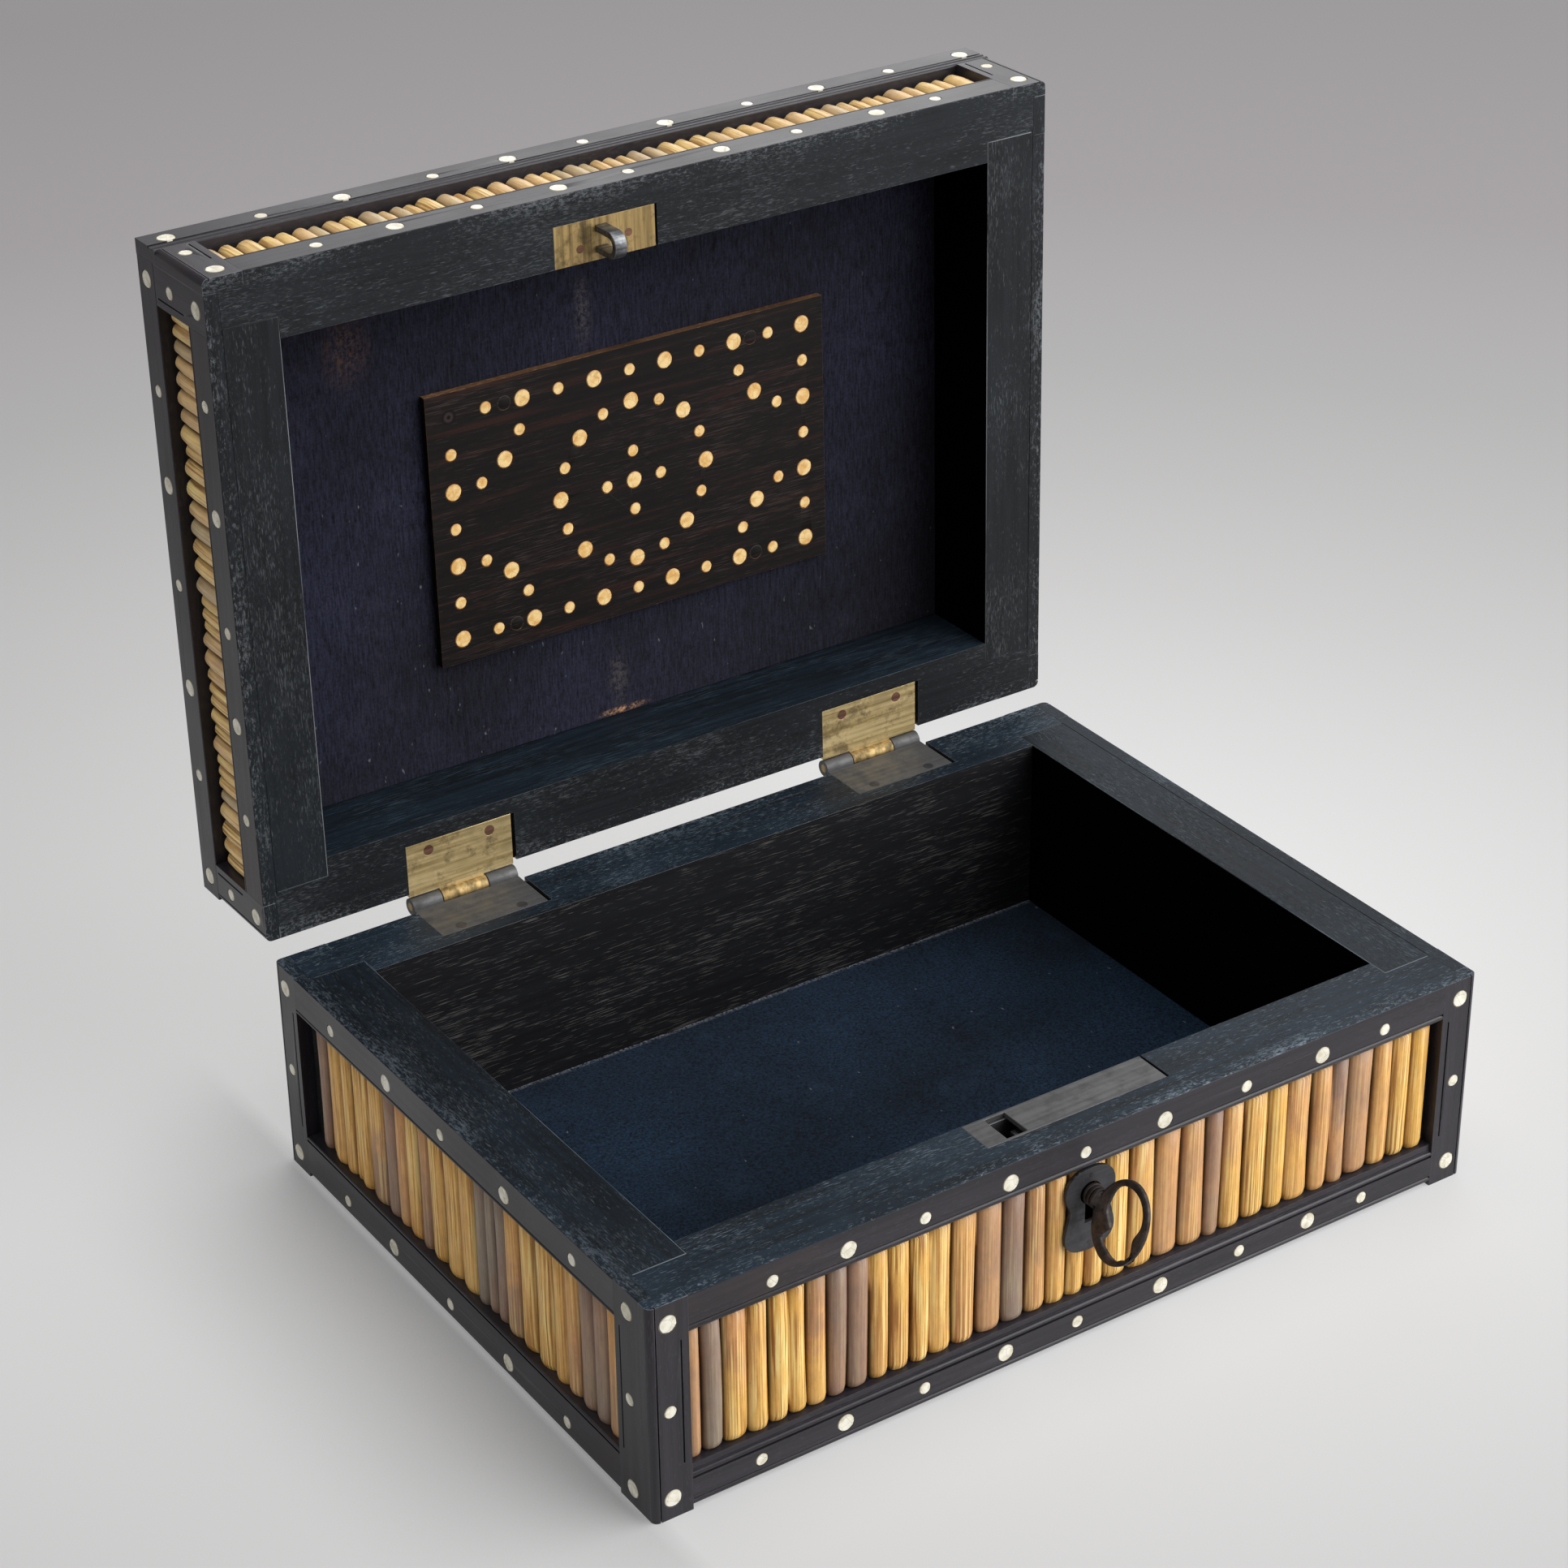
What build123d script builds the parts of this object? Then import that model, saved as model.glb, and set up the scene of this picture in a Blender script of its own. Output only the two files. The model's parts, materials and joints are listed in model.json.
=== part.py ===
"""Quill and ebony ditty box with its lid standing open, millimetres.

Frame: +X right, +Y back, +Z up.  The origin is the centre of the box on the surface that the
corner stiles stand on.  The lid is modelled shut and turned open about its hinge pins.
"""
from build123d import *
from math import cos, pi, radians, sin
import os

# ---------------------------------------------------------------- driving dimensions
box_length = 260.0          # left to right, over the facings
box_depth = 189.0           # front to back, over the facings
base_height = 64.0          # floor to base rim
lid_height = 38.0           # lid rim to lid top
lid_open_angle = 91.0       # where the lid stands open
rim_gap = 0.1               # between the two rims when shut

facing = 4.2                # ebony facing
board = 15.8                # wall board behind the facing
corner_lap = 6.0            # side board end let into the front and back boards
bottom_board_thickness = 9.0
bottom_board_lift = 1.6     # floor to underside of the bottom board
bottom_board_lap = 4.0      # bottom board let into the wall boards
floor_lining_thickness = 0.8
lid_board_thickness = 8.0
lid_lining_thickness = 0.6
lining_clearance = 0.3
joint_clearance = 0.02      # between pieces that are glued or pressed together

stile_width = 11.2
base_top_rail = 11.0
base_bottom_rail = 12.0
bottom_rail_lift = 1.2      # the bottom rails hang clear of the floor
lid_rim_rail = 10.6
lid_front_outer_rail = 11.3
lid_side_outer_rail = 9.5
top_frame_width = 11.2
quirk = 0.35                # fine groove beside a bead
rail_bead = 2.0
foot_bead = 1.7
lip_bead = 1.4
side_bead = 1.1             # on the inner edges of the base's side rails
lip_step = 1.9
lip_step_depth = 0.9
corner_bead = 1.8
stopped_groove_width = 0.5
stopped_groove_depth = 0.5
stopped_groove_inset = 2.2
stopped_groove_stop = 2.0
edge_ease = 0.3

quill_crown = 2.8           # height of a quill above the board
quill_end_gap = 0.6
quill_side_gap = 0.06
base_quill_width = 6.7
lid_quill_width = 4.8
top_quill_width = 6.4
quill_variation = 0.22

large_dot = 2.5             # radii of the bone pegs
small_dot = 1.8
peg_depth = 3.0
peg_proud = 0.05
dot_inset = 5.5             # dot centres from the corner of a face
long_dots = 11
short_dots = 7

plaque_length = 128.0
plaque_width = 80.0
plaque_thickness = 2.5
plaque_offset_x = 4.8
plaque_offset_y = 2.0
plaque_inset = 7.0
plaque_peg_depth = 2.0
plaque_arc_radius = 23.2
plaque_ring_radius = 23.8
plaque_cross_radius = 8.8
plaque_pin_inset = 24.2
plaque_pin_radius = 2.1
plaque_pin_depth = 5.0      # into the lid board

hinge_back = 3.6            # pin axis behind the back face
hinge_length = 33.0
left_hinge_x = -69.8
right_hinge_x = 67.8
hinge_leaf_reach = 15.0     # leaf on the rim, in from the back face
hinge_leaf_thickness = 1.6
hinge_mortise_end_gap = 1.2
knuckle_radius = 2.4
lid_knuckle_length = 14.5
knuckle_side_gap = 0.3
knuckle_notch_gap = 0.4
hinge_pin_radius = 1.2
pin_running_clearance = 0.05
nail_head_radius = 1.5
nail_head_thickness = 0.9
nail_shank_radius = 0.8
nail_length = 9.0
nail_spread = 9.6           # either side of the hinge middle
base_nail_reach = 12.6      # in from the back face
lid_nail_reach = 12.0

key_height = 45.0           # key axis above the floor
plate_width = 11.6          # lock and hook plates, front to back
top_plate_left = -25.2
top_plate_length = 56.6
top_plate_thickness = 1.6
plate_end_gap = 0.7
staple_slot_length = 6.3    # along the plate
staple_slot_width = 9.7     # across the plate
case_clearance = 0.3
case_wall = 1.0
case_bottom_height = 31.0
back_plate_thickness = 1.6
back_plate_margin = 5.0     # beyond the case, each end
back_plate_drop = 3.0       # below the case
staple_x = -15.5
staple_strap_width = 3.6
staple_strap_thickness = 1.8
staple_outer_width = 7.6
staple_drop = 10.0
staple_tail = 5.0           # riveted end in the lid
staple_setback = 14.2       # staple centre behind the front face
hook_plate_left = -30.0
hook_plate_length = 31.0
hook_plate_thickness = 1.5
hook_pin_radius = 1.1

bolt_travel = 5.2
bolt_thickness = 2.8
bolt_tip_clearance = 0.7
bolt_head_low = 11.9        # bolt heights are above the key axis
bolt_head_high = 15.4
bolt_low = 7.0
bolt_high = 13.8
bolt_left = -5.5
bolt_right = 27.5
talon_half_width = 4.85
talon_height = 1.9
stump_x = 18.0
stump_height = 10.4
stump_radius = 1.3
stump_clearance = 0.1
spring_thickness = 0.4
spring_width = 3.0
spring_lift = 0.3
spring_bend_rise = 0.6
spring_tip_rise = 0.8
spring_foot_drop = 3.0
spring_foot_width = 1.6
spring_knee = 9.0            # spring's bends, back from its foot and from the stump
spring_rest = 10.0
spring_tip = 14.0

keyhole_radius = 3.25
keyhole_slot_width = 3.3
keyhole_slot_drop = 9.0
escutcheon_top = 7.4         # heights are from the key axis
escutcheon_foot = -17.6
escutcheon_side = (          # half width and height, down one side
    (3.4, 7.0),
    (6.0, 5.6),
    (7.5, 3.3),
    (7.8, 0.8),
    (7.3, -1.4),
    (6.3, -3.8),
    (6.6, -6.2),
    (7.5, -9.8),
    (7.8, -12.4),
    (7.2, -14.6),
    (5.8, -16.2),
    (3.4, -17.2),
)
escutcheon_thickness = 1.15
escutcheon_pin_inset = 2.2   # pin centres inside the plate's top and foot
escutcheon_pin_radius = 0.6
drill_pin_radius = 1.0
drill_pin_length = 12.0
key_x = 1.2                  # key axis right of the box's middle
key_rest_turn = 24.0         # the key is left turned to the right by this angle
key_shank_radius = 2.3
key_bit_radius = 8.5
key_bit_thickness = 2.0
key_bit_end_gap = 1.3
key_bit_width = 5.8
key_tip_gap = 0.9            # shank end to the back plate
key_collars = 3
key_collar_radius = 3.0
key_collar_width = 0.9
key_collar_pitch = 1.35
key_collar_start = 0.2       # front face to the first collar
bow_front_gap = 3.7          # front face to the bow
bow_reach = 9.3              # half sizes of the bow, to its outside
bow_rise = 11.3
bow_drop = 1.6               # the bow hangs a little low on its shank
bow_thickness = 3.2
bow_rounding = 0.9
bow_opening = (              # outwards and up from the middle of the bow
    (-3.0, 7.5),
    (-0.3, 8.5),
    (2.6, 7.6),
    (4.9, 4.6),
    (5.4, 1.4),
    (4.7, -1.7),
    (5.3, -4.4),
    (4.4, -7.4),
    (1.8, -8.4),
    (-1.2, -7.5),
    (-3.2, -5.6),
    (-2.0, -3.0),
    (-3.9, -0.2),
    (-4.4, 3.8),
)

# ---------------------------------------------------------------- worked-out places
half_length = box_length / 2
half_depth = box_depth / 2
wall = facing + board
inner_x = half_length - wall
inner_y = half_depth - wall
board_x = half_length - facing
board_y = half_depth - facing
lid_rim = base_height + rim_gap
lid_top = lid_rim + lid_height
lid_board_top = lid_top - facing
lid_board_low = lid_board_top - lid_board_thickness
lid_lining_low = lid_board_low - lid_lining_thickness
floor_top = bottom_board_lift + bottom_board_thickness
pin_y = half_depth + hinge_back
pin_z = base_height + rim_gap / 2
staple_y = -half_depth + staple_setback
plate_front = -inner_y - plate_width
top_plate_right = top_plate_left + top_plate_length
top_plate_low = base_height - top_plate_thickness
hook_plate_right = hook_plate_left + hook_plate_length
case_front = plate_front + joint_clearance
case_back = -inner_y - back_plate_thickness
case_left = top_plate_left + case_clearance
case_right = top_plate_right - case_clearance
quill_face = -half_depth + facing - quill_crown


# ---------------------------------------------------------------- small makers
def block(x_span, y_span, z_span):
    """A block between two corners."""
    spans = (x_span, y_span, z_span)
    middle = [(low + high) / 2 for low, high in spans]
    return Pos(*middle) * Box(*[high - low for low, high in spans])


def upright(x, y, radius, z_span):
    """A round bar along Z."""
    low, high = z_span
    return Pos(x, y, (low + high) / 2) * Cylinder(radius, high - low)


def crosswise(x, z, radius, y_span):
    """A round bar along Y."""
    low, high = y_span
    return Pos(x, (low + high) / 2, z) * Rot(90, 0, 0) * Cylinder(radius, high - low)


def lengthwise(y, z, radius, x_span):
    """A round bar along X."""
    low, high = x_span
    return Pos((low + high) / 2, y, z) * Rot(0, 90, 0) * Cylinder(radius, high - low)


def cut(solid, cutters):
    """Take each cutter out of a solid."""
    for cutter in cutters:
        solid = solid - cutter
    return solid


def shut_to_open(shape):
    """Turn a lid piece about the hinge pins, from shut to standing open."""
    to_pin = Pos(0, pin_y, pin_z)
    return to_pin * Rot(-lid_open_angle, 0, 0) * to_pin.inverse() * shape


def save(name, solids, on_lid=False):
    """Write one node from one solid or a list of separate solids."""
    pieces = solids if isinstance(solids, list) else [solids]
    if on_lid:
        pieces = [shut_to_open(piece) for piece in pieces]
    shape = pieces[0] if len(pieces) == 1 else Compound(children=pieces)
    export_step(shape, f"parts/{name}.step")


# Each face has a frame of its own: x from its left end seen from outside, y inwards, z upwards.
face_frames = {
    "front": Plane(origin=(-half_length, -half_depth, 0), x_dir=(1, 0, 0), z_dir=(0, 0, 1)),
    "right": Plane(origin=(half_length, -half_depth, 0), x_dir=(0, 1, 0), z_dir=(0, 0, 1)),
    "back": Plane(origin=(half_length, half_depth, 0), x_dir=(-1, 0, 0), z_dir=(0, 0, 1)),
    "left": Plane(origin=(-half_length, half_depth, 0), x_dir=(0, -1, 0), z_dir=(0, 0, 1)),
    "top": Plane(origin=(-half_length, -half_depth, lid_top), x_dir=(1, 0, 0), z_dir=(0, 1, 0)),
}
# The front facing covers both front corners, and the side facings cover the back corners.
face_spans = {
    "front": (0.0, box_length),
    "right": (facing, box_depth),
    "back": (facing, box_length - facing),
    "left": (0.0, box_depth - facing),
}
corner_beads = {"front": ("low", "high"), "right": ("high",), "back": (), "left": ("low",)}


def on_face(face, solid):
    """Move a solid from a face's own frame to the box's frame."""
    return face_frames[face].location * solid


# ---------------------------------------------------------------- facings
def moulded_section(z_span, beads=(), step=None):
    """Section of a rail: x is the depth in from its face, y the height."""
    low, high = z_span
    section = Pos(facing / 2, (low + high) / 2) * Rectangle(facing, high - low)
    for bead_low, bead_high in beads:
        radius = (bead_high - bead_low) / 2
        middle = (bead_low + bead_high) / 2
        section -= Pos(radius / 2, middle) * Rectangle(radius, 2 * (radius + quirk))
        section += Pos(radius, middle) * Circle(radius)
    if step:
        step_low, step_high, step_depth = step
        step_middle = (step_low + step_high) / 2
        section -= Pos(step_depth / 2, step_middle) * Rectangle(step_depth, step_high - step_low)
    for edge, side in ((low, 1), (high, -1)):
        if all(edge not in bead for bead in beads) and not (step and edge in step):
            section -= Pos(edge_ease / 2, edge + side * edge_ease / 2) * Rectangle(edge_ease, edge_ease)
            section += Pos(edge_ease, edge + side * edge_ease) * Circle(edge_ease)
    return section


def rail(x_span, z_span, beads=(), step=None):
    """A moulded rail between two stiles, in a face's frame."""
    low, high = x_span
    bar = extrude(Plane.YZ * moulded_section(z_span, beads, step), amount=high - low - 2 * joint_clearance)
    return Pos(low + joint_clearance, 0, 0) * bar


def stile(x_span, z_span, opening, corner_side=None, panel_side="high"):
    """An upright at a corner: a bead on the box's corner, a stopped groove beside the panel."""
    low, high = x_span
    section = Pos((low + high) / 2, facing / 2) * Rectangle(high - low, facing)
    if corner_side:
        inwards = 1 if corner_side == "low" else -1
        corner = low if corner_side == "low" else high
        middle = corner + inwards * corner_bead
        bead_at = Pos(corner + inwards * corner_bead / 2, corner_bead / 2)
        section -= bead_at * Rectangle(corner_bead, corner_bead)
        section += Pos(middle, corner_bead) * Circle(corner_bead)
        section -= Pos(middle + inwards * quirk / 2, corner_bead / 4) * Rectangle(quirk, corner_bead / 2)
    post = Pos(0, 0, z_span[0]) * extrude(section, amount=z_span[1] - z_span[0])
    groove_x = high - stopped_groove_inset if panel_side == "high" else low + stopped_groove_inset
    groove_z = (opening[0] + stopped_groove_stop, opening[1] - stopped_groove_stop / 2)
    half_groove = stopped_groove_width / 2
    return post - block((groove_x - half_groove, groove_x + half_groove), (0, stopped_groove_depth), groove_z)


def stile_pair(face, z_span, opening):
    """Both stiles of a face, in its frame."""
    low, high = face_spans[face]
    beads = corner_beads[face]
    left = stile((low, low + stile_width), z_span, opening, "low" if "low" in beads else None, "high")
    right = stile((high - stile_width, high), z_span, opening, "high" if "high" in beads else None, "low")
    return [left, right]


def panel_span(face):
    """The clear width between a face's stiles."""
    low, high = face_spans[face]
    return (low + stile_width, high - stile_width)


# ---------------------------------------------------------------- bone pegs
def even_row(length, count, wander=()):
    """Peg centres along a face: evenly spaced, each moved a little as a hand-laid row is."""
    pitch = (length - 2 * dot_inset) / (count - 1)
    places = [dot_inset + pitch * index for index in range(count)]
    moves = list(wander) + [0.0] * (count - len(wander))
    return [place + move for place, move in zip(places, moves)]


def dot_size(index):
    """Large and small pegs take turns, with a large one at each corner."""
    return small_dot if index % 2 else large_dot


def face_dots(length, count, low_z, high_z, middle_z, low_wander=(), high_wander=()):
    """Pegs round the border of one face: (x, z, radius)."""
    dots = []
    for height, wander in ((low_z, low_wander), (high_z, high_wander)):
        for index, place in enumerate(even_row(length, count, wander)):
            dots.append((place, height, dot_size(index)))
    for place in (dot_inset, length - dot_inset):
        dots.append((place, middle_z, small_dot))
    return dots


def pegs(dots):
    """Bone pegs driven into a face, in its frame."""
    return [crosswise(x, z, radius, (-peg_proud, peg_depth)) for x, z, radius in dots]


def peg_holes(dots):
    """Blind holes for the pegs."""
    depth = peg_depth + joint_clearance
    return [crosswise(x, z, radius + joint_clearance, (-peg_depth, depth)) for x, z, radius in dots]


# ---------------------------------------------------------------- quills
def quill(x_span, z_span):
    """A split quill, flat on the board and round outwards, in a face's frame."""
    low, high = x_span[0] + quill_side_gap / 2, x_span[1] - quill_side_gap / 2
    crown = min(quill_crown, (high - low) * 0.48)
    seat = facing - joint_clearance
    base = Line((low, seat), (high, seat))
    back = ThreePointArc((high, seat), ((low + high) / 2, facing - crown), (low, seat))
    section = make_face([base, back])
    return Pos(0, 0, z_span[0]) * extrude(section, amount=z_span[1] - z_span[0])


def quill_row(x_span, z_span, mean_width, phase):
    """Quills laid side by side across a panel, no two quite as wide."""
    count = max(1, round((x_span[1] - x_span[0]) / mean_width))
    shares = [1 + quill_variation * sin(2.4 * index * index + phase) for index in range(count)]
    scale = (x_span[1] - x_span[0]) / sum(shares)
    span_z = (z_span[0] + quill_end_gap, z_span[1] - quill_end_gap)
    row = []
    edge = x_span[0]
    for share in shares:
        row.append(quill((edge, edge + share * scale), span_z))
        edge += share * scale
    return row


# ---------------------------------------------------------------- nails and pins
def nail(x, y, surface, direction, head=nail_head_radius, length=nail_length):
    """A nail set flush in a surface; direction is +1 where it is driven upwards."""
    head_end = surface + direction * nail_head_thickness
    tip = surface + direction * length
    shank = upright(x, y, nail_shank_radius, tuple(sorted((surface, tip))))
    return shank + upright(x, y, head, tuple(sorted((surface, head_end))))


def nail_hole(x, y, surface, direction, head=nail_head_radius, length=nail_length):
    """Room for a nail, open at the surface."""
    outside = surface - direction * nail_head_thickness
    head_end = surface + direction * (nail_head_thickness + joint_clearance)
    tip = surface + direction * (length + joint_clearance)
    shank = upright(x, y, nail_shank_radius + joint_clearance, tuple(sorted((outside, tip))))
    return shank + upright(x, y, head + joint_clearance, tuple(sorted((outside, head_end))))


# ---------------------------------------------------------------- keyhole
def keyhole(y_span, margin=0.0):
    """A round hole with a slot below it, cut through from the front."""
    radius = keyhole_radius + margin
    half_slot = keyhole_slot_width / 2 + margin
    slot_x = (key_x - half_slot, key_x + half_slot)
    slot = block(slot_x, y_span, (key_height - keyhole_slot_drop - margin, key_height))
    return crosswise(key_x, key_height, radius, y_span) + slot


# ---------------------------------------------------------------- base
base_openings = (bottom_rail_lift + base_bottom_rail, base_height - base_top_rail)
base_low_wander = {
    "front": (0, 0.7, 0.7, -0.2, 0.1, -1.9, 0.3, 1.9, 0.5, -5.6, 0),
    "left": (0, -1.4, -5.4, -4.8, -4.7, -5.4, 0),
}
base_high_wander = {
    "front": (0, 4.6, 1.7, -0.4, 0.6, -0.9, -0.6, 1.3, 1.9, -1.6, 0),
    "left": (0, -3.9, -3.4, -4.5, -2.2, 0.6, 0),
}
long_dot_low = 6.0           # heights of the lower dots on the long and on the short faces
short_dot_low = 4.9
dot_high = base_height - 6.0
base_dots = {}
for face_name, span, how_many, low_height in (
    ("front", box_length, long_dots, long_dot_low),
    ("back", box_length, long_dots, long_dot_low),
    ("right", box_depth, short_dots, short_dot_low),
    ("left", box_depth, short_dots, short_dot_low),
):
    base_dots[face_name] = face_dots(
        span,
        how_many,
        low_height,
        dot_high,
        base_height / 2,
        base_low_wander.get(face_name, ()),
        base_high_wander.get(face_name, ()),
    )


def end_dots_on_facing(dots, face):
    """Where a neighbour covers a face's end, its end pegs move on to the face itself."""
    low, high = face_spans[face]
    shifted = []
    for x, z, radius in dots:
        place = min(max(x, low + dot_inset), high - dot_inset)
        shifted.append((place, z, radius))
    return shifted


def base_boards():
    """Four wall boards, the side boards let into the front and back ones."""
    z_span = (bottom_board_lift, base_height)
    side_y = board_y - board + corner_lap
    front = block((-board_x, board_x), (-board_y, -inner_y), z_span)
    back = block((-board_x, board_x), (inner_y, board_y), z_span)
    left = block((-board_x, -inner_x), (-side_y, side_y), z_span)
    right = block((inner_x, board_x), (-side_y, side_y), z_span)
    fit = joint_clearance
    side_rebates = [
        block((-board_x - 1, -inner_x + fit), (-side_y - fit, side_y + fit), (0, base_height + 1)),
        block((inner_x - fit, board_x + 1), (-side_y - fit, side_y + fit), (0, base_height + 1)),
    ]
    bottom_x = inner_x + bottom_board_lap + fit
    bottom_y = inner_y + bottom_board_lap + fit
    bottom_rebate = block((-bottom_x, bottom_x), (-bottom_y, bottom_y), (0, floor_top + fit))
    front = cut(front, side_rebates + [bottom_rebate])
    back = cut(back, side_rebates + [bottom_rebate])
    return front, back, left - bottom_rebate, right - bottom_rebate


def base_face(face):
    """Stiles and rails of one base face; the long faces have the richer bottom rail."""
    low, high = panel_span(face)
    dots = end_dots_on_facing(base_dots[face], face)
    holes = peg_holes(dots)
    uprights = stile_pair(face, (0, base_height), base_openings)
    top_low = base_height - base_top_rail
    bottom_top = bottom_rail_lift + base_bottom_rail
    top_bead = side_bead
    foot_beads = [(bottom_top - side_bead, bottom_top)]
    step = None
    if face in ("front", "back"):
        top_bead = rail_bead
        lip_low = bottom_top - lip_step - quirk - lip_bead
        foot_beads = [(bottom_rail_lift, bottom_rail_lift + foot_bead), (lip_low, lip_low + lip_bead)]
        step = (bottom_top - lip_step, bottom_top, lip_step_depth)
    top_rail = rail((low, high), (top_low, base_height), [(top_low, top_low + top_bead)])
    foot_rail = rail((low, high), (bottom_rail_lift, bottom_top), foot_beads, step)
    stiles = [on_face(face, cut(post, holes)) for post in uprights]
    rails = [on_face(face, cut(bar, holes)) for bar in (top_rail, foot_rail)]
    row = quill_row((low, high), base_openings, base_quill_width, len(face))
    quills = [on_face(face, one) for one in row]
    return stiles, rails, quills, [on_face(face, peg) for peg in pegs(dots)]


# ---------------------------------------------------------------- hinges
def hinge_middle_spans(x):
    """Along the pin: the whole hinge and the lid's knuckle."""
    half, half_knuckle = hinge_length / 2, lid_knuckle_length / 2
    return (x - half, x + half), (x - half_knuckle, x + half_knuckle)


def hinge_mortise(x, z_span):
    """Shallow seat for a leaf across the back rim, a little long at its right end."""
    whole = hinge_middle_spans(x)[0]
    reach = half_depth - hinge_leaf_reach - joint_clearance
    return block((whole[0] - joint_clearance, whole[1] + hinge_mortise_end_gap), (reach, pin_y), z_span)


def hinge_nail_places(x, reach):
    """The two nails of one leaf."""
    return [(x - nail_spread, half_depth - reach), (x + nail_spread, half_depth - reach)]


def base_leaf(x):
    """Leaf let into the base rim, with the two outer knuckles."""
    whole, middle = hinge_middle_spans(x)
    leaf_z = (base_height - hinge_leaf_thickness, base_height)
    leaf = block(whole, (half_depth - hinge_leaf_reach, pin_y), leaf_z)
    leaf += lengthwise(pin_y, pin_z, knuckle_radius, whole)
    notch_y = pin_y - knuckle_radius - knuckle_notch_gap
    notch_x = (middle[0] - knuckle_side_gap / 2, middle[1] + knuckle_side_gap / 2)
    leaf -= block(notch_x, (notch_y, pin_y + 2 * knuckle_radius), (base_height - 8, base_height + 8))
    holes = [nail_hole(nx, ny, base_height, -1) for nx, ny in hinge_nail_places(x, base_nail_reach)]
    return cut(leaf, holes + [lengthwise(pin_y, pin_z, hinge_pin_radius + joint_clearance, whole)])


def lid_leaf(x):
    """Leaf let into the lid rim, with the middle knuckle; modelled shut."""
    whole, middle = hinge_middle_spans(x)
    leaf_z = (lid_rim, lid_rim + hinge_leaf_thickness)
    leaf = block(whole, (half_depth - hinge_leaf_reach, pin_y), leaf_z)
    notch_y = pin_y - knuckle_radius - knuckle_notch_gap
    knuckle_x = (middle[0] + knuckle_side_gap / 2, middle[1] - knuckle_side_gap / 2)
    for side_x in ((whole[0] - 1, knuckle_x[0]), (knuckle_x[1], whole[1] + 1)):
        leaf -= block(side_x, (notch_y, pin_y + 1), (lid_rim - 1, lid_rim + 8))
    leaf += lengthwise(pin_y, pin_z, knuckle_radius, knuckle_x)
    holes = [nail_hole(nx, ny, lid_rim, 1) for nx, ny in hinge_nail_places(x, lid_nail_reach)]
    bore = lengthwise(pin_y, pin_z, hinge_pin_radius + pin_running_clearance, whole)
    return cut(leaf, holes + [bore])


# ---------------------------------------------------------------- lock
def staple_slot(z_span):
    """Slot that the lid's staple drops into."""
    half_x, half_y = staple_slot_length / 2, staple_slot_width / 2
    return block((staple_x - half_x, staple_x + half_x), (staple_y - half_y, staple_y + half_y), z_span)


def lock_nail_places():
    """Pins through the back plate, beyond the ends of the case."""
    low_z = case_bottom_height + back_plate_drop
    high_z = top_plate_low - 2 * back_plate_drop
    ends = (case_left - back_plate_margin / 2, case_right + back_plate_margin / 2)
    return [(x, z) for x in ends for z in (low_z, high_z)]


def lock_pin(x, z, grow=0.0):
    """A pin driven forwards through the back plate into the front board."""
    face = -inner_y
    shank = crosswise(x, z, nail_shank_radius + grow, (face - nail_length - grow, face))
    head_y = (face - nail_head_thickness - grow, face + 2 * grow)
    return shank + crosswise(x, z, hook_pin_radius + grow, head_y)


def lock_room():
    """Everything cut from the front board for the lock."""
    fit = joint_clearance
    face = -inner_y + 1
    plate = block(
        (top_plate_left - fit, top_plate_right + plate_end_gap),
        (plate_front - fit, face),
        (top_plate_low - fit, base_height + 1),
    )
    case_z = (case_bottom_height - fit, base_height)
    case = block((case_left - fit, case_right + fit), (plate_front - fit, face), case_z)
    back_x = (case_left - back_plate_margin - fit, case_right + back_plate_margin + fit)
    back = block(back_x, (case_back - fit, face), (case_bottom_height - back_plate_drop - fit, top_plate_low))
    pins = [lock_pin(x, z, fit) for x, z in lock_nail_places()]
    return [plate, case, back, keyhole((-half_depth, plate_front + 1))] + pins


def lock_top_plate():
    """Plate let into the base rim over the lock case."""
    plate = block((top_plate_left, top_plate_right), (plate_front, -inner_y), (top_plate_low, base_height))
    return plate - staple_slot((top_plate_low - 1, base_height + 1))


def lock_case():
    """Box of thin sheet, open at the back and the top."""
    top = top_plate_low - joint_clearance
    case_y = (case_front, case_back - joint_clearance)
    case = block((case_left, case_right), case_y, (case_bottom_height, top))
    room = block(
        (case_left + case_wall, case_right - case_wall),
        (case_front + case_wall, case_back + 1),
        (case_bottom_height + case_wall, top + 1),
    )
    return case - room - keyhole((case_front - 1, case_front + case_wall + 1))


def lock_back_plate():
    """Plate flush with the inside of the front board; it carries the bolt's stump."""
    plate = block(
        (case_left - back_plate_margin, case_right + back_plate_margin),
        (case_back, -inner_y),
        (case_bottom_height - back_plate_drop, top_plate_low - joint_clearance),
    )
    stump_reach = (staple_y - bolt_thickness, case_back)
    plate += crosswise(stump_x, key_height + stump_height, stump_radius, stump_reach)
    plate -= crosswise(key_x, key_height, drill_pin_radius + joint_clearance, (case_back - 1, -inner_y + 1))
    return cut(plate, [lock_pin(x, z, joint_clearance) for x, z in lock_nail_places()])


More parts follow.
